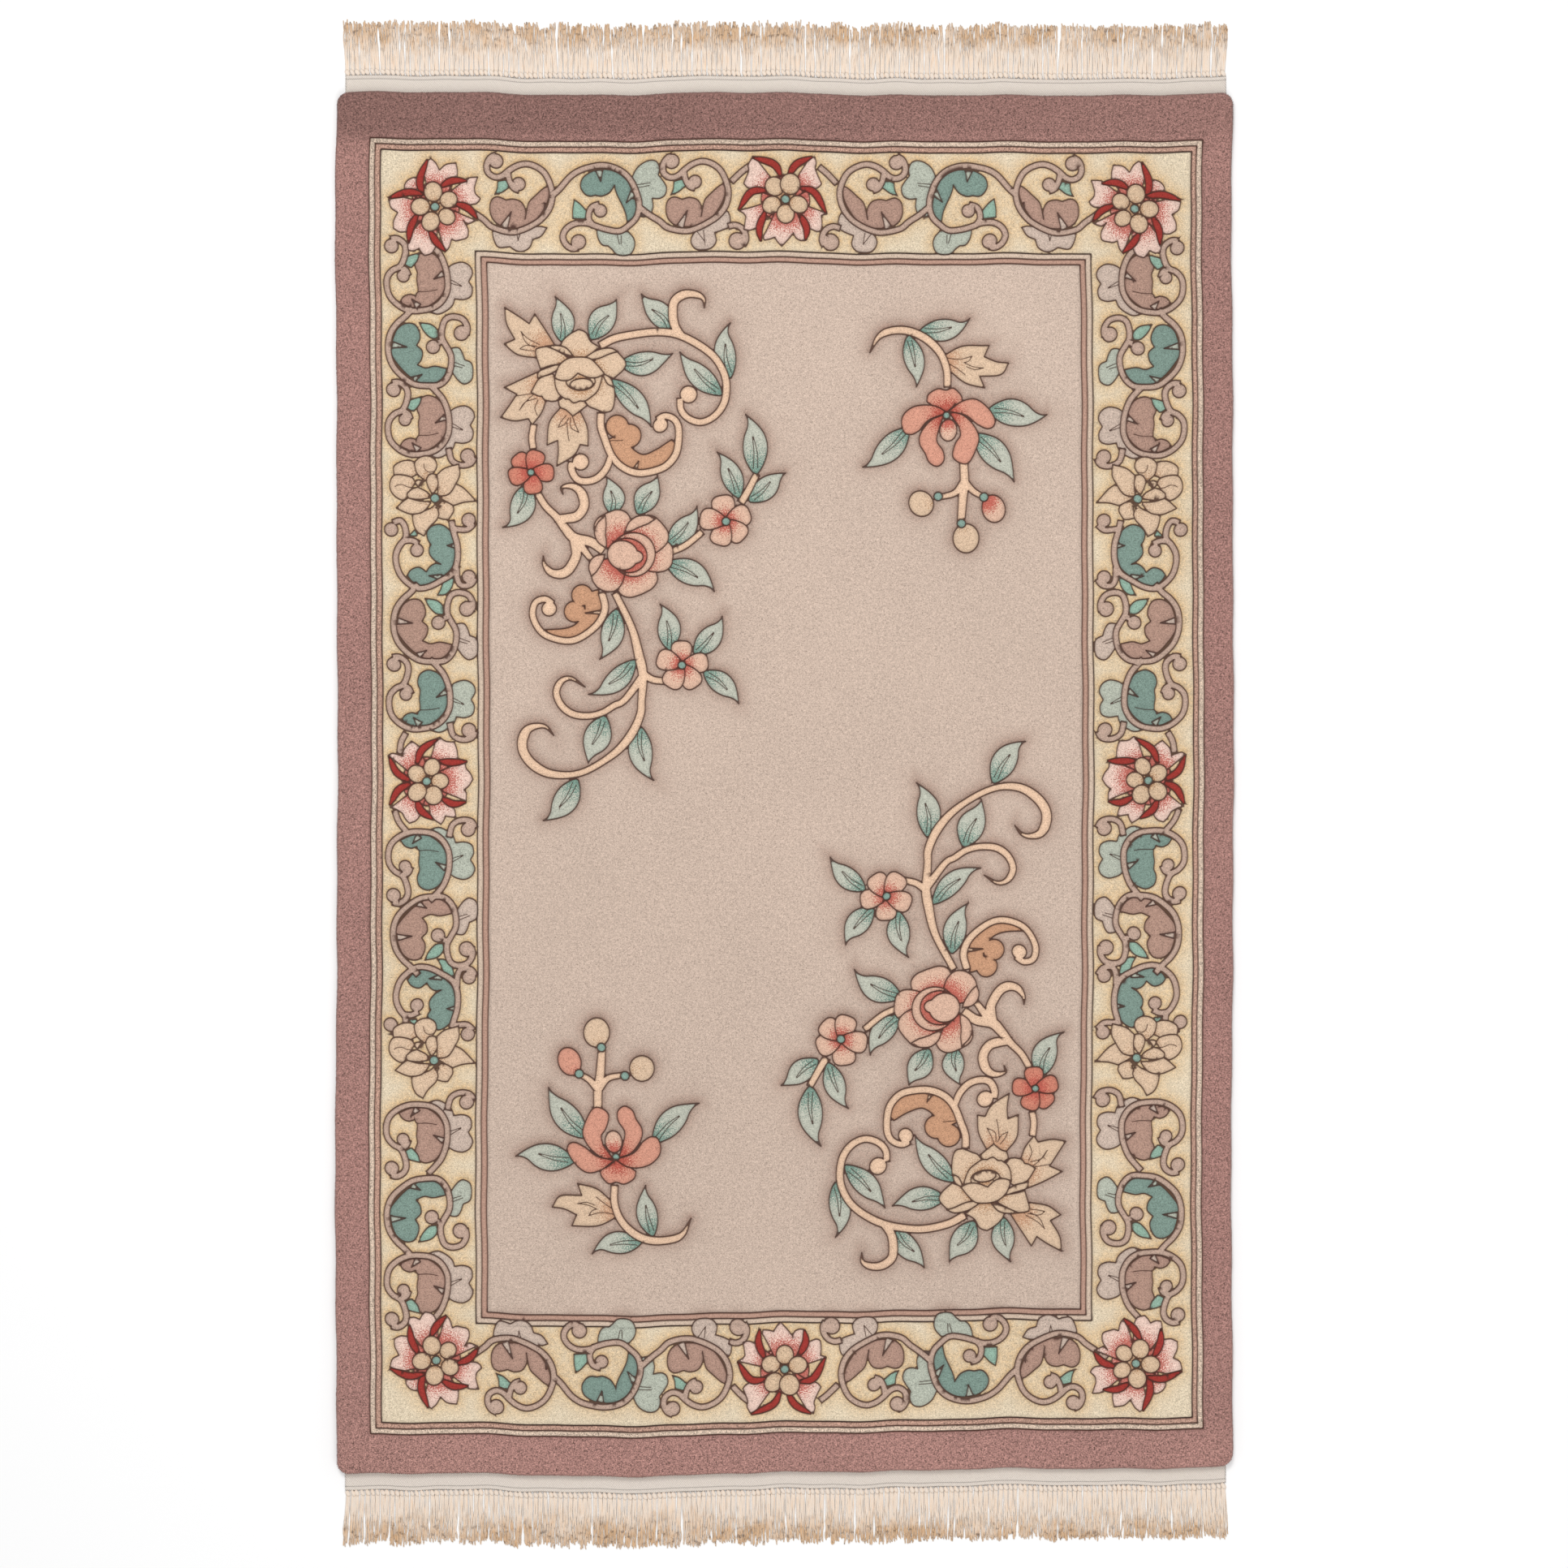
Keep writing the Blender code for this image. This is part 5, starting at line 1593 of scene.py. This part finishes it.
def cotton_material(name, weave, stained):
    """Undyed cotton: woven where it is the web, twisted where it is the fringe, and stained towards the tips."""
    nodes = Nodes(name)
    place = nodes.place()
    parts = nodes.node("ShaderNodeSeparateXYZ", {}, place)
    across = Socket(nodes, parts.output.node.outputs["X"])
    along = Socket(nodes, parts.output.node.outputs["Y"])
    out = nodes.node("ShaderNodeMath", {"operation": "ABSOLUTE"}, along - 0.0006)
    grain = nodes.noise(place, 900.0)
    patches = nodes.noise(place, 26.0, 3.0, 0.6)
    stain = ((out - (0.990 - (patches - 0.5) * 0.05)) * 34.0).clamp() * stained
    strand = nodes.noise(nodes.node("ShaderNodeCombineXYZ", {}, across, along * 0.06, 0.0), 620.0, 2.0, 0.7)
    spots = ((nodes.noise(place, 150.0, 2.0, 0.6) - 0.56) * 7.0).clamp() * stain
    colour = nodes.mix((stain * patches * 1.2 + (strand - 0.42) * (2.0 * stained)).clamp(), colour_of("fringe" if stained else "cotton"), colour_of("fringe_stain"))
    colour = nodes.mix(spots * 0.6, colour, colour_of("shade_brown"))
    bump = grain * 0.4
    light = 0.98 + (grain - 0.5) * 0.24 + (strand - 0.5) * (0.9 if stained else 0.0)
    if weave:
        twill = nodes.node("ShaderNodeMath", {"operation": "SINE"}, (across + along * 0.7) * (2 * math.pi / 0.0026))
        bump = bump + twill * 0.8
        # Painted shade in the web's groove and along its outer edge
        web_groove_shade = Socket(nodes, nodes.node("ShaderNodeAttribute", {"attribute_name": "web_groove_shade"}).output.node.outputs["Fac"])
        light = (light + twill * 0.12) * (1.0 - web_groove_shade * 0.5)
    light = nodes.node("ShaderNodeCombineXYZ", {}, light, light, light)
    colour = nodes.mix(1.0, colour, light, "MULTIPLY")
    return nodes.finish(colour, 0.9, bump, 0.0005)


class Growth:
    """A Geometry Nodes tree that makes what repeats, with named inputs for its sizes."""

    def __init__(self, name):
        self.tree = bpy.data.node_groups.new(name, "GeometryNodeTree")
        self.tree.interface.new_socket("Geometry", in_out="INPUT", socket_type="NodeSocketGeometry")
        self.tree.interface.new_socket("Geometry", in_out="OUTPUT", socket_type="NodeSocketGeometry")
        self.entry = self.tree.nodes.new("NodeGroupInput")
        self.values = {}

    def input(self, name, kind, value):
        self.tree.interface.new_socket(name, in_out="INPUT", socket_type=kind)
        self.values[name] = value
        return Socket(self, self.entry.outputs[name])

    def start(self):
        return Socket(self, self.entry.outputs["Geometry"])

    def node(self, kind, settings, *values, output=0, **named):
        """Adds a node, with its settings first, then the values or links of its inputs."""
        node = self.tree.nodes.new(kind)
        for key, value in settings.items():
            setattr(node, key, value)
        for key, value in list(enumerate(values)) + list(named.items()):
            if value is not None:
                self.feed(node.inputs[key.replace("_", " ") if isinstance(key, str) else key], value)
        return Socket(self, node.outputs[output])

    def feed(self, entry, value):
        if isinstance(value, Socket):
            self.tree.links.new(value.output, entry)
        else:
            entry.default_value = value

    def vector(self, x=0.0, y=0.0, z=0.0):
        return self.node("ShaderNodeCombineXYZ", {}, x, y, z)

    def random(self, low, high, seed):
        return self.node("FunctionNodeRandomValue", {"data_type": "FLOAT"}, None, None, low, high, Seed=seed, output=1)

    def named(self, name):
        return self.node("GeometryNodeInputNamedAttribute", {"data_type": "FLOAT"}, name)

    def grown(self, name, source, result, material):
        """Runs the tree on a mesh, and returns what it makes as a plain object."""
        result = self.node("GeometryNodeRealizeInstances", {}, result)
        result = self.node("GeometryNodeSetMaterial", {}, result, Material=material)
        exit = self.tree.nodes.new("NodeGroupOutput")
        self.tree.links.new(result.output, exit.inputs[0])
        holder = new_object(name + "_source", source)
        modifier = holder.modifiers.new("growth", "NODES")
        modifier.node_group = self.tree
        for item in self.tree.interface.items_tree:
            if item.in_out == "INPUT" and item.name in self.values:
                modifier[item.identifier] = self.values[item.name]
        context = bpy.context
        mesh = bpy.data.meshes.new_from_object(holder.evaluated_get(context.evaluated_depsgraph_get()))
        mesh.name = name
        bpy.data.objects.remove(holder)
        if not mesh.materials:
            mesh.materials.append(material)
        return new_object(name, mesh)


def pile_end(top):
    """The pile's end from left to right, in metres."""
    level = PILE.high if top else PILE.low
    x = np.linspace(WEB_LEFT, WEB_RIGHT, 361)
    return woven(np.column_stack((x, np.full(len(x), level)))) * CHART_STEP


def web_strip(name, top, settings):
    """The flat-woven strip at one end, a little wavy along its outer edge."""
    side = 1 if top else -1
    line = pile_end(top)
    ripple = 0.0004 * np.sin(np.arange(len(line)) * 0.31 + side)
    # Third column: painted shade in the groove near the outer edge and on the rolled outer edge
    section = [(depth, 1.0, 0.0) for depth in (-0.001, 0.12, 0.24, 0.36, 0.48, 0.6, 0.7, 0.75)]
    section += [(0.785, 0.7, 1.0), (0.82, 1.0, 0.0), (0.9, 1.15, 0.0), (0.965, 0.95, 0.0)]
    section += [(1.0, 0.7, 1.0), (1.012, 0.4, 1.0), (1.0, 0.0, 0.0), (-0.001, 0.0, 0.0)]
    rows = []
    for depth, lift, shade in section:
        sag = 1 - 0.12 * math.sin(3 * depth) * lift
        out = line[:, 1] + side * (settings.web_depth * depth + ripple * max(depth, 0))
        height = np.full(len(line), settings.web_thickness * lift * sag)
        rows.append(np.column_stack((line[:, 0], out, height)))
    count = len(line)
    points = np.vstack(rows)
    faces = []
    for row in range(len(rows)):
        following = (row + 1) % len(rows)
        for index in range(count - 1):
            quad = (row * count + index, row * count + index + 1, following * count + index + 1, following * count + index)
            if top:
                quad = quad[::-1]
            faces += [quad[::-1][:3], (quad[::-1][0], quad[::-1][2], quad[::-1][3])]
    for index, order in ((0, 1), (count - 1, -1)):
        cap = [row * count + index for row in range(len(rows))][::order]
        if not top:
            cap = cap[::-1]
        faces += [(cap[0], cap[step + 1], cap[step]) for step in range(1, len(cap) - 1)]
    mesh = new_mesh(name, points, np.array(faces))
    shades = np.repeat([item[2] for item in section], count).astype(np.float32)
    # The painted shade of the groove and the outer edge, for each point
    mesh.attributes.new("web_groove_shade", "FLOAT", "POINT").data.foreach_set("value", shades)
    return mesh


def bundle_roots(name, top, settings):
    """One point for each warp bundle, on the web's outer edge, with how far it reaches and leans."""
    side = 1 if top else -1
    generator = np.random.default_rng(SEED + side)
    share = (np.arange(settings.bundles) + 0.5) / settings.bundles
    line = pile_end(top)
    x = line[0, 0] + (line[-1, 0] - line[0, 0]) * share
    y = np.interp(x, line[:, 0], line[:, 1]) + side * settings.web_depth
    x = x + generator.normal(0, 0.0004, len(x))
    mesh = bpy.data.meshes.new(name)
    mesh.from_pydata(np.column_stack((x, y, np.full(len(x), 0.0012))).tolist(), [], [])
    lean = 0.045 * (2 * share - 1) ** 3 + generator.normal(0, 0.02, len(x))
    values = {
        "reach": settings.fringe_length * generator.uniform(0.95, 1.05, len(x)),
        "turn": (0.0 if top else math.pi) - side * lean,
        "number": np.arange(len(x), dtype=float),
    }
    for key, value in values.items():
        mesh.attributes.new(key, "FLOAT", "POINT").data.foreach_set("value", value.astype(np.float32))
    return mesh


def grow_knots(name, top, settings, material):
    """A row of overhand knots, one for each bundle."""
    growth = Growth("knots")
    length = growth.input("Knot length", "NodeSocketFloat", 0.0095)
    width = growth.input("Knot width", "NodeSocketFloat", 0.0064)
    ball = growth.node("GeometryNodeMeshUVSphere", {}, 8, 6, 0.5)
    ball = growth.node("GeometryNodeSetShadeSmooth", {}, ball)
    turn = growth.vector(0.0, 0.0, growth.named("turn") + growth.random(0.3, 0.65, 3))
    size = growth.vector(width * growth.random(0.85, 1.1, 4), length * growth.random(0.9, 1.1, 5), 0.0042)
    placed = growth.node(
        "GeometryNodeInstanceOnPoints", {}, growth.start(), None, ball, None, None,
        growth.node("FunctionNodeEulerToRotation", {}, turn), size,
    )
    shift = growth.node("ShaderNodeVectorRotate", {"rotation_type": "Z_AXIS"}, (0.0, 0.004, 0.001), None, None, None, None)
    growth.feed(shift.output.node.inputs["Angle"], growth.named("turn"))
    placed = growth.node("GeometryNodeTranslateInstances", {}, placed, None, shift, False)
    return growth.grown(name, bundle_roots(name + "_roots", top, settings), placed, material)


def grow_fringe(name, top, settings, material):
    """The loose warp yarns past the knots: each bundle spreads and each yarn wanders a little."""
    growth = Growth("fringe")
    yarns = growth.input("Yarns", "NodeSocketInt", settings.yarns_in_bundle)
    radius = growth.input("Yarn radius", "NodeSocketFloat", 0.00078)
    spread = growth.input("Spread", "NodeSocketFloat", 0.0064)
    many = growth.tree.nodes.new("GeometryNodeDuplicateElements")
    many.domain = "POINT"
    growth.feed(many.inputs["Geometry"], growth.start())
    growth.feed(many.inputs["Amount"], yarns)
    number = Socket(growth, many.outputs["Duplicate Index"])
    line = growth.node("GeometryNodeCurvePrimitiveLine", {}, (0, 0, 0), (0, 1, 0))
    line = growth.node("GeometryNodeResampleCurve", {}, line, Count=11)
    turn = growth.vector(0.0, 0.0, growth.named("turn") + growth.random(-0.02, 0.02, 6))
    size = growth.vector(1.0, growth.named("reach") * growth.random(0.92, 1.04, 7), 1.0)
    seeded = growth.node("GeometryNodeStoreNamedAttribute", {"data_type": "FLOAT", "domain": "POINT"},
                         Socket(growth, many.outputs["Geometry"]), None, "yarn_number", growth.named("number") * 8.0 + number)
    seeded = growth.node("GeometryNodeStoreNamedAttribute", {"data_type": "FLOAT", "domain": "POINT"},
                         seeded, None, "place_in_bundle", (number + 0.5) / yarns - 0.5)
    placed = growth.node(
        "GeometryNodeInstanceOnPoints", {}, seeded, None, line, None, None,
        growth.node("FunctionNodeEulerToRotation", {}, turn), size,
    )
    curves = growth.node("GeometryNodeRealizeInstances", {}, placed)
    share = growth.node("GeometryNodeSplineParameter", {})
    which = growth.named("yarn_number")
    beside = growth.named("place_in_bundle")
    opened = growth.node("ShaderNodeMath", {"operation": "POWER"}, share, 0.45)
    wander = []
    for offset in (0.0, 57.3):
        noise = growth.node("ShaderNodeTexNoise", {"noise_dimensions": "4D"}, growth.vector(share * 2.6, which, 0.0),
                            which * 3.7 + offset, 1.0, 1.0)
        wander.append((noise - 0.5) * share)
    shift = growth.vector(
        beside * spread * (0.72 + opened * 0.28) + wander[0] * 0.012,
        0.0,
        0.0006 + wander[1] * wander[1] * 0.012,
    )
    curves = growth.node("GeometryNodeSetPosition", {}, curves, None, None, shift)
    profile = growth.node("GeometryNodeCurvePrimitiveCircle", {}, 4, Radius=radius)
    yarn = growth.node("GeometryNodeCurveToMesh", {}, curves, profile, Fill_Caps=True)
    yarn = growth.node("GeometryNodeSetShadeSmooth", {}, yarn)
    roots = bundle_roots(name + "_roots", top, settings)
    side = 1 if top else -1
    for vertex in roots.vertices:
        vertex.co.y += side * 0.0065
        vertex.co.z = 0.0002
    return growth.grown(name, roots, yarn, material)


def grow_rim(name, settings, material):
    """Tufts that lean out round the pile's edge, in rows."""
    source = bpy.data.meshes.new(name + "_rows")
    points = []
    edges = []
    for row, (inset, height) in enumerate(((1.9, 0.0125), (0.7, 0.0105), (0.0, 0.0078), (0.0, 0.0052), (0.2, 0.0030))):
        outline = woven(rounded_rectangle(inset)) * CHART_STEP
        first = len(points)
        points += [(x, y, height) for x, y in outline]
        edges += [(first + i, first + (i + 1) % len(outline)) for i in range(len(outline))]
    source.from_pydata(points, edges, [])
    growth = Growth("rim_tufts")
    pitch = growth.input("Pitch", "NodeSocketFloat", settings.knot_pitch * 0.8)
    length = growth.input("Tuft length", "NodeSocketFloat", 0.0042)
    line = growth.node("GeometryNodeMeshToCurve", {}, growth.start())
    line = growth.node("GeometryNodeResampleCurve", {"mode": "LENGTH"}, line, Length=pitch)
    tangent = growth.node("GeometryNodeInputTangent", {})
    across = growth.node("ShaderNodeVectorMath", {"operation": "CROSS_PRODUCT"}, tangent, (0.0, 0.0, 1.0))
    across = growth.node("ShaderNodeVectorMath", {"operation": "ADD"}, across,
                         growth.vector(growth.random(-0.35, 0.35, 1), growth.random(-0.35, 0.35, 2), growth.random(0.3, 1.1, 3)))
    turn = growth.node("FunctionNodeAlignRotationToVector", {"axis": "Z"}, None, None, across)
    cone = growth.node("GeometryNodeMeshCone", {}, 5, 1, 1, 0.22, 0.5, 1.0)
    cone = growth.node("GeometryNodeSetShadeSmooth", {}, cone)
    width = growth.random(0.0017, 0.0026, 4)
    size = growth.vector(width, width, length * growth.random(0.7, 1.1, 5))
    placed = growth.node("GeometryNodeInstanceOnPoints", {}, line, None, cone, None, None, turn, size)
    placed = growth.node("GeometryNodeTranslateInstances", {}, placed, None, (0.0, 0.0, -0.55), True)
    return growth.grown(name, source, placed, material)


class RugSettings(PropertyGroup):
    """Sizes of the rug that a user would change."""

    knot_pitch: FloatProperty(
        name="Knot pitch", description="Distance between knots", default=0.0034, min=0.001, unit="LENGTH"
    )
    # How strong the painted shade in the carved lines is
    groove_darkness: FloatProperty(
        name="Groove darkness", description="How dark the carved lines look", default=0.9, min=0.0, max=1.0
    )
    bundles: IntProperty(name="Bundles", description="Knotted warp bundles at each end", default=178, min=10)
    yarns_in_bundle: IntProperty(name="Yarns", description="Warp yarns in each bundle", default=7, min=1, max=8)
    fringe_length: FloatProperty(
        name="Fringe length", description="From the knots to the tips", default=0.0655, min=0.01, unit="LENGTH"
    )
    web_depth: FloatProperty(
        name="Web depth", description="Width of the woven strip at each end", default=0.0245, unit="LENGTH"
    )
    web_thickness: FloatProperty(
        name="Web thickness", description="Thickness of the woven strips", default=0.0028, unit="LENGTH"
    )
    floor_colour: FloatVectorProperty(
        name="Floor", description="Colour of the floor", default=(0.93, 0.93, 0.93), subtype="COLOR", min=0, max=1
    )


# The pile's pieces from the outside in, and how strongly the cut ends speckle each
PILE_PIECES = (("pile_outer_band", 5.2), ("pile_border", 2.4), ("pile_field", 2.1))


class RUG_OT_pile(Operator):
    """Makes the carved pile in three closed pieces, and the foundation sheet that carries them"""

    bl_idname = "rug.pile"
    bl_label = "Pile and foundation"

    def execute(self, context):
        settings = context.scene.rug
        chart = draw_rug()
        plain = Relief(chart, drawn_lines(chart))
        relief = Relief(chart, visible_lines(plain))
        surface = Surface(chart, relief)
        pieces = []
        for zone, (name, speckle) in enumerate(PILE_PIECES):
            piece = pile_piece(name, relief, surface, zone)
            piece.data.materials.append(wool_material(name + "_wool", speckle, settings))
            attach(piece, "root")
            pieces.append(piece)
        points, faces, patterned = foundation_sheet("foundation", plain)
        mesh = new_mesh("foundation", points, faces)
        base = np.array([linear(YARNS[patch.yarn]) for patch in chart.patches])
        yarn = np.ones((3 * len(faces), 4))
        yarn[:, :3] = linear(YARNS["cotton"])
        yarn[: 3 * patterned, :3] = np.repeat(base[plain.top], 3, axis=0)
        corner_colours(mesh, "yarn", yarn)
        mesh.materials.append(knotted_back_material(settings))
        foundation = new_object("foundation", mesh)
        rim = grow_rim("rim_tufts", settings, rim_wool_material(settings))
        pieces.append(rim)
        for piece, slot in ((foundation, "cotton_warp"), (rim, "wool_pile")):
            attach(piece, "root")
        for piece in pieces + [foundation]:
            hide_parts("rug_pile")
        flat = ((PILE.right - PILE.left) * CHART_STEP, (PILE.high - PILE.low) * CHART_STEP)
        return {"FINISHED"}


class RUG_OT_ends(Operator):
    """Makes the woven strip, the knots and the fringe at both ends"""

    bl_idname = "rug.ends"
    bl_label = "Webs and fringe"

    def execute(self, context):
        settings = context.scene.rug
        web_cotton = cotton_material("woven_cotton", True, 0.0)
        yarn_cotton = cotton_material("fringe_cotton", False, 1.0)
        for top, end in ((True, "top"), (False, "low")):
            web = new_object("web_" + end, web_strip("web_" + end, top, settings))
            web.data.materials.append(web_cotton)
            knots = grow_knots("knots_" + end, top, settings, yarn_cotton)
            fringe = grow_fringe("fringe_" + end, top, settings, yarn_cotton)
            for piece in (web, knots, fringe):
                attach(piece, "root")
                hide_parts("end_web_" + end)
        return {"FINISHED"}


class RUG_OT_stage(Operator):
    """Makes the plain floor, the soft studio light and the camera straight above"""

    bl_idname = "rug.stage"
    bl_label = "Floor, light and camera"

    def execute(self, context):
        settings = context.scene.rug
        mesh = bpy.data.meshes.new("floor")
        mesh.from_pydata([(-8, -8, -0.0005), (8, -8, -0.0005), (8, 8, -0.0005), (-8, 8, -0.0005)], [], [(0, 1, 2, 3)])
        floor = new_object("floor", mesh)
        material = bpy.data.materials.new("pale_floor")
        material.use_nodes = True
        shader = material.node_tree.nodes["Principled BSDF"]
        shader.inputs["Base Color"].default_value = (*settings.floor_colour, 1.0)
        shader.inputs["Roughness"].default_value = 0.9
        floor.data.materials.append(material)
        world = context.scene.world or bpy.data.worlds.new("studio")
        context.scene.world = world
        world.use_nodes = True
        world.node_tree.nodes["Background"].inputs["Color"].default_value = (1.0, 1.0, 1.0, 1.0)
        world.node_tree.nodes["Background"].inputs["Strength"].default_value = 0.5
        for name, place, energy, size in (
            ("key", (-0.6, 2.1, 4.4), 112.0, 1.6),
            ("fill", (0.9, -2.5, 4.4), 84.0, 3.0),
        ):
            light = bpy.data.lights.new(name, "AREA")
            light.energy = energy
            light.size = size
            lamp = bpy.data.objects.new(name, light)
            lamp.location = place
            lamp.rotation_euler = (-Vector(place)).to_track_quat("-Z", "Y").to_euler()
            context.scene.collection.objects.link(lamp)
        lens = bpy.data.cameras.new("camera")
        lens.lens = 90.0
        lens.sensor_width = 36.0
        lens.clip_end = 30.0
        camera = bpy.data.objects.new("camera", lens)
        camera.location = (-0.0005, -0.0005, 2.125 * 90.0 / 36.0 + 0.013)
        context.scene.collection.objects.link(camera)
        context.scene.camera = camera
        context.scene.view_settings.view_transform = "Standard"
        return {"FINISHED"}


class RUG_PT_panel(Panel):
    """Lists the pieces of the rug and their sizes"""

    bl_label = "Hand-knotted rug"
    bl_idname = "RUG_PT_panel"
    bl_space_type = "VIEW_3D"
    bl_region_type = "UI"
    bl_category = "Rug"

    def draw(self, context):
        for name in RugSettings.__annotations__:
            self.layout.prop(context.scene.rug, name)
        for operator in PIECES:
            self.layout.operator(operator.bl_idname)


PIECES = (RUG_OT_pile, RUG_OT_ends, RUG_OT_stage)
CLASSES = (RugSettings, *PIECES, RUG_PT_panel)


def register():
    for item in CLASSES:
        bpy.utils.register_class(item)
    bpy.types.Scene.rug = PointerProperty(type=RugSettings)


def unregister():
    del bpy.types.Scene.rug
    for item in reversed(CLASSES):
        bpy.utils.unregister_class(item)


def main():
    register()
    bpy.ops.rug.pile()
    bpy.ops.rug.ends()
    bpy.ops.rug.stage()


if __name__ == "__main__":
    main()
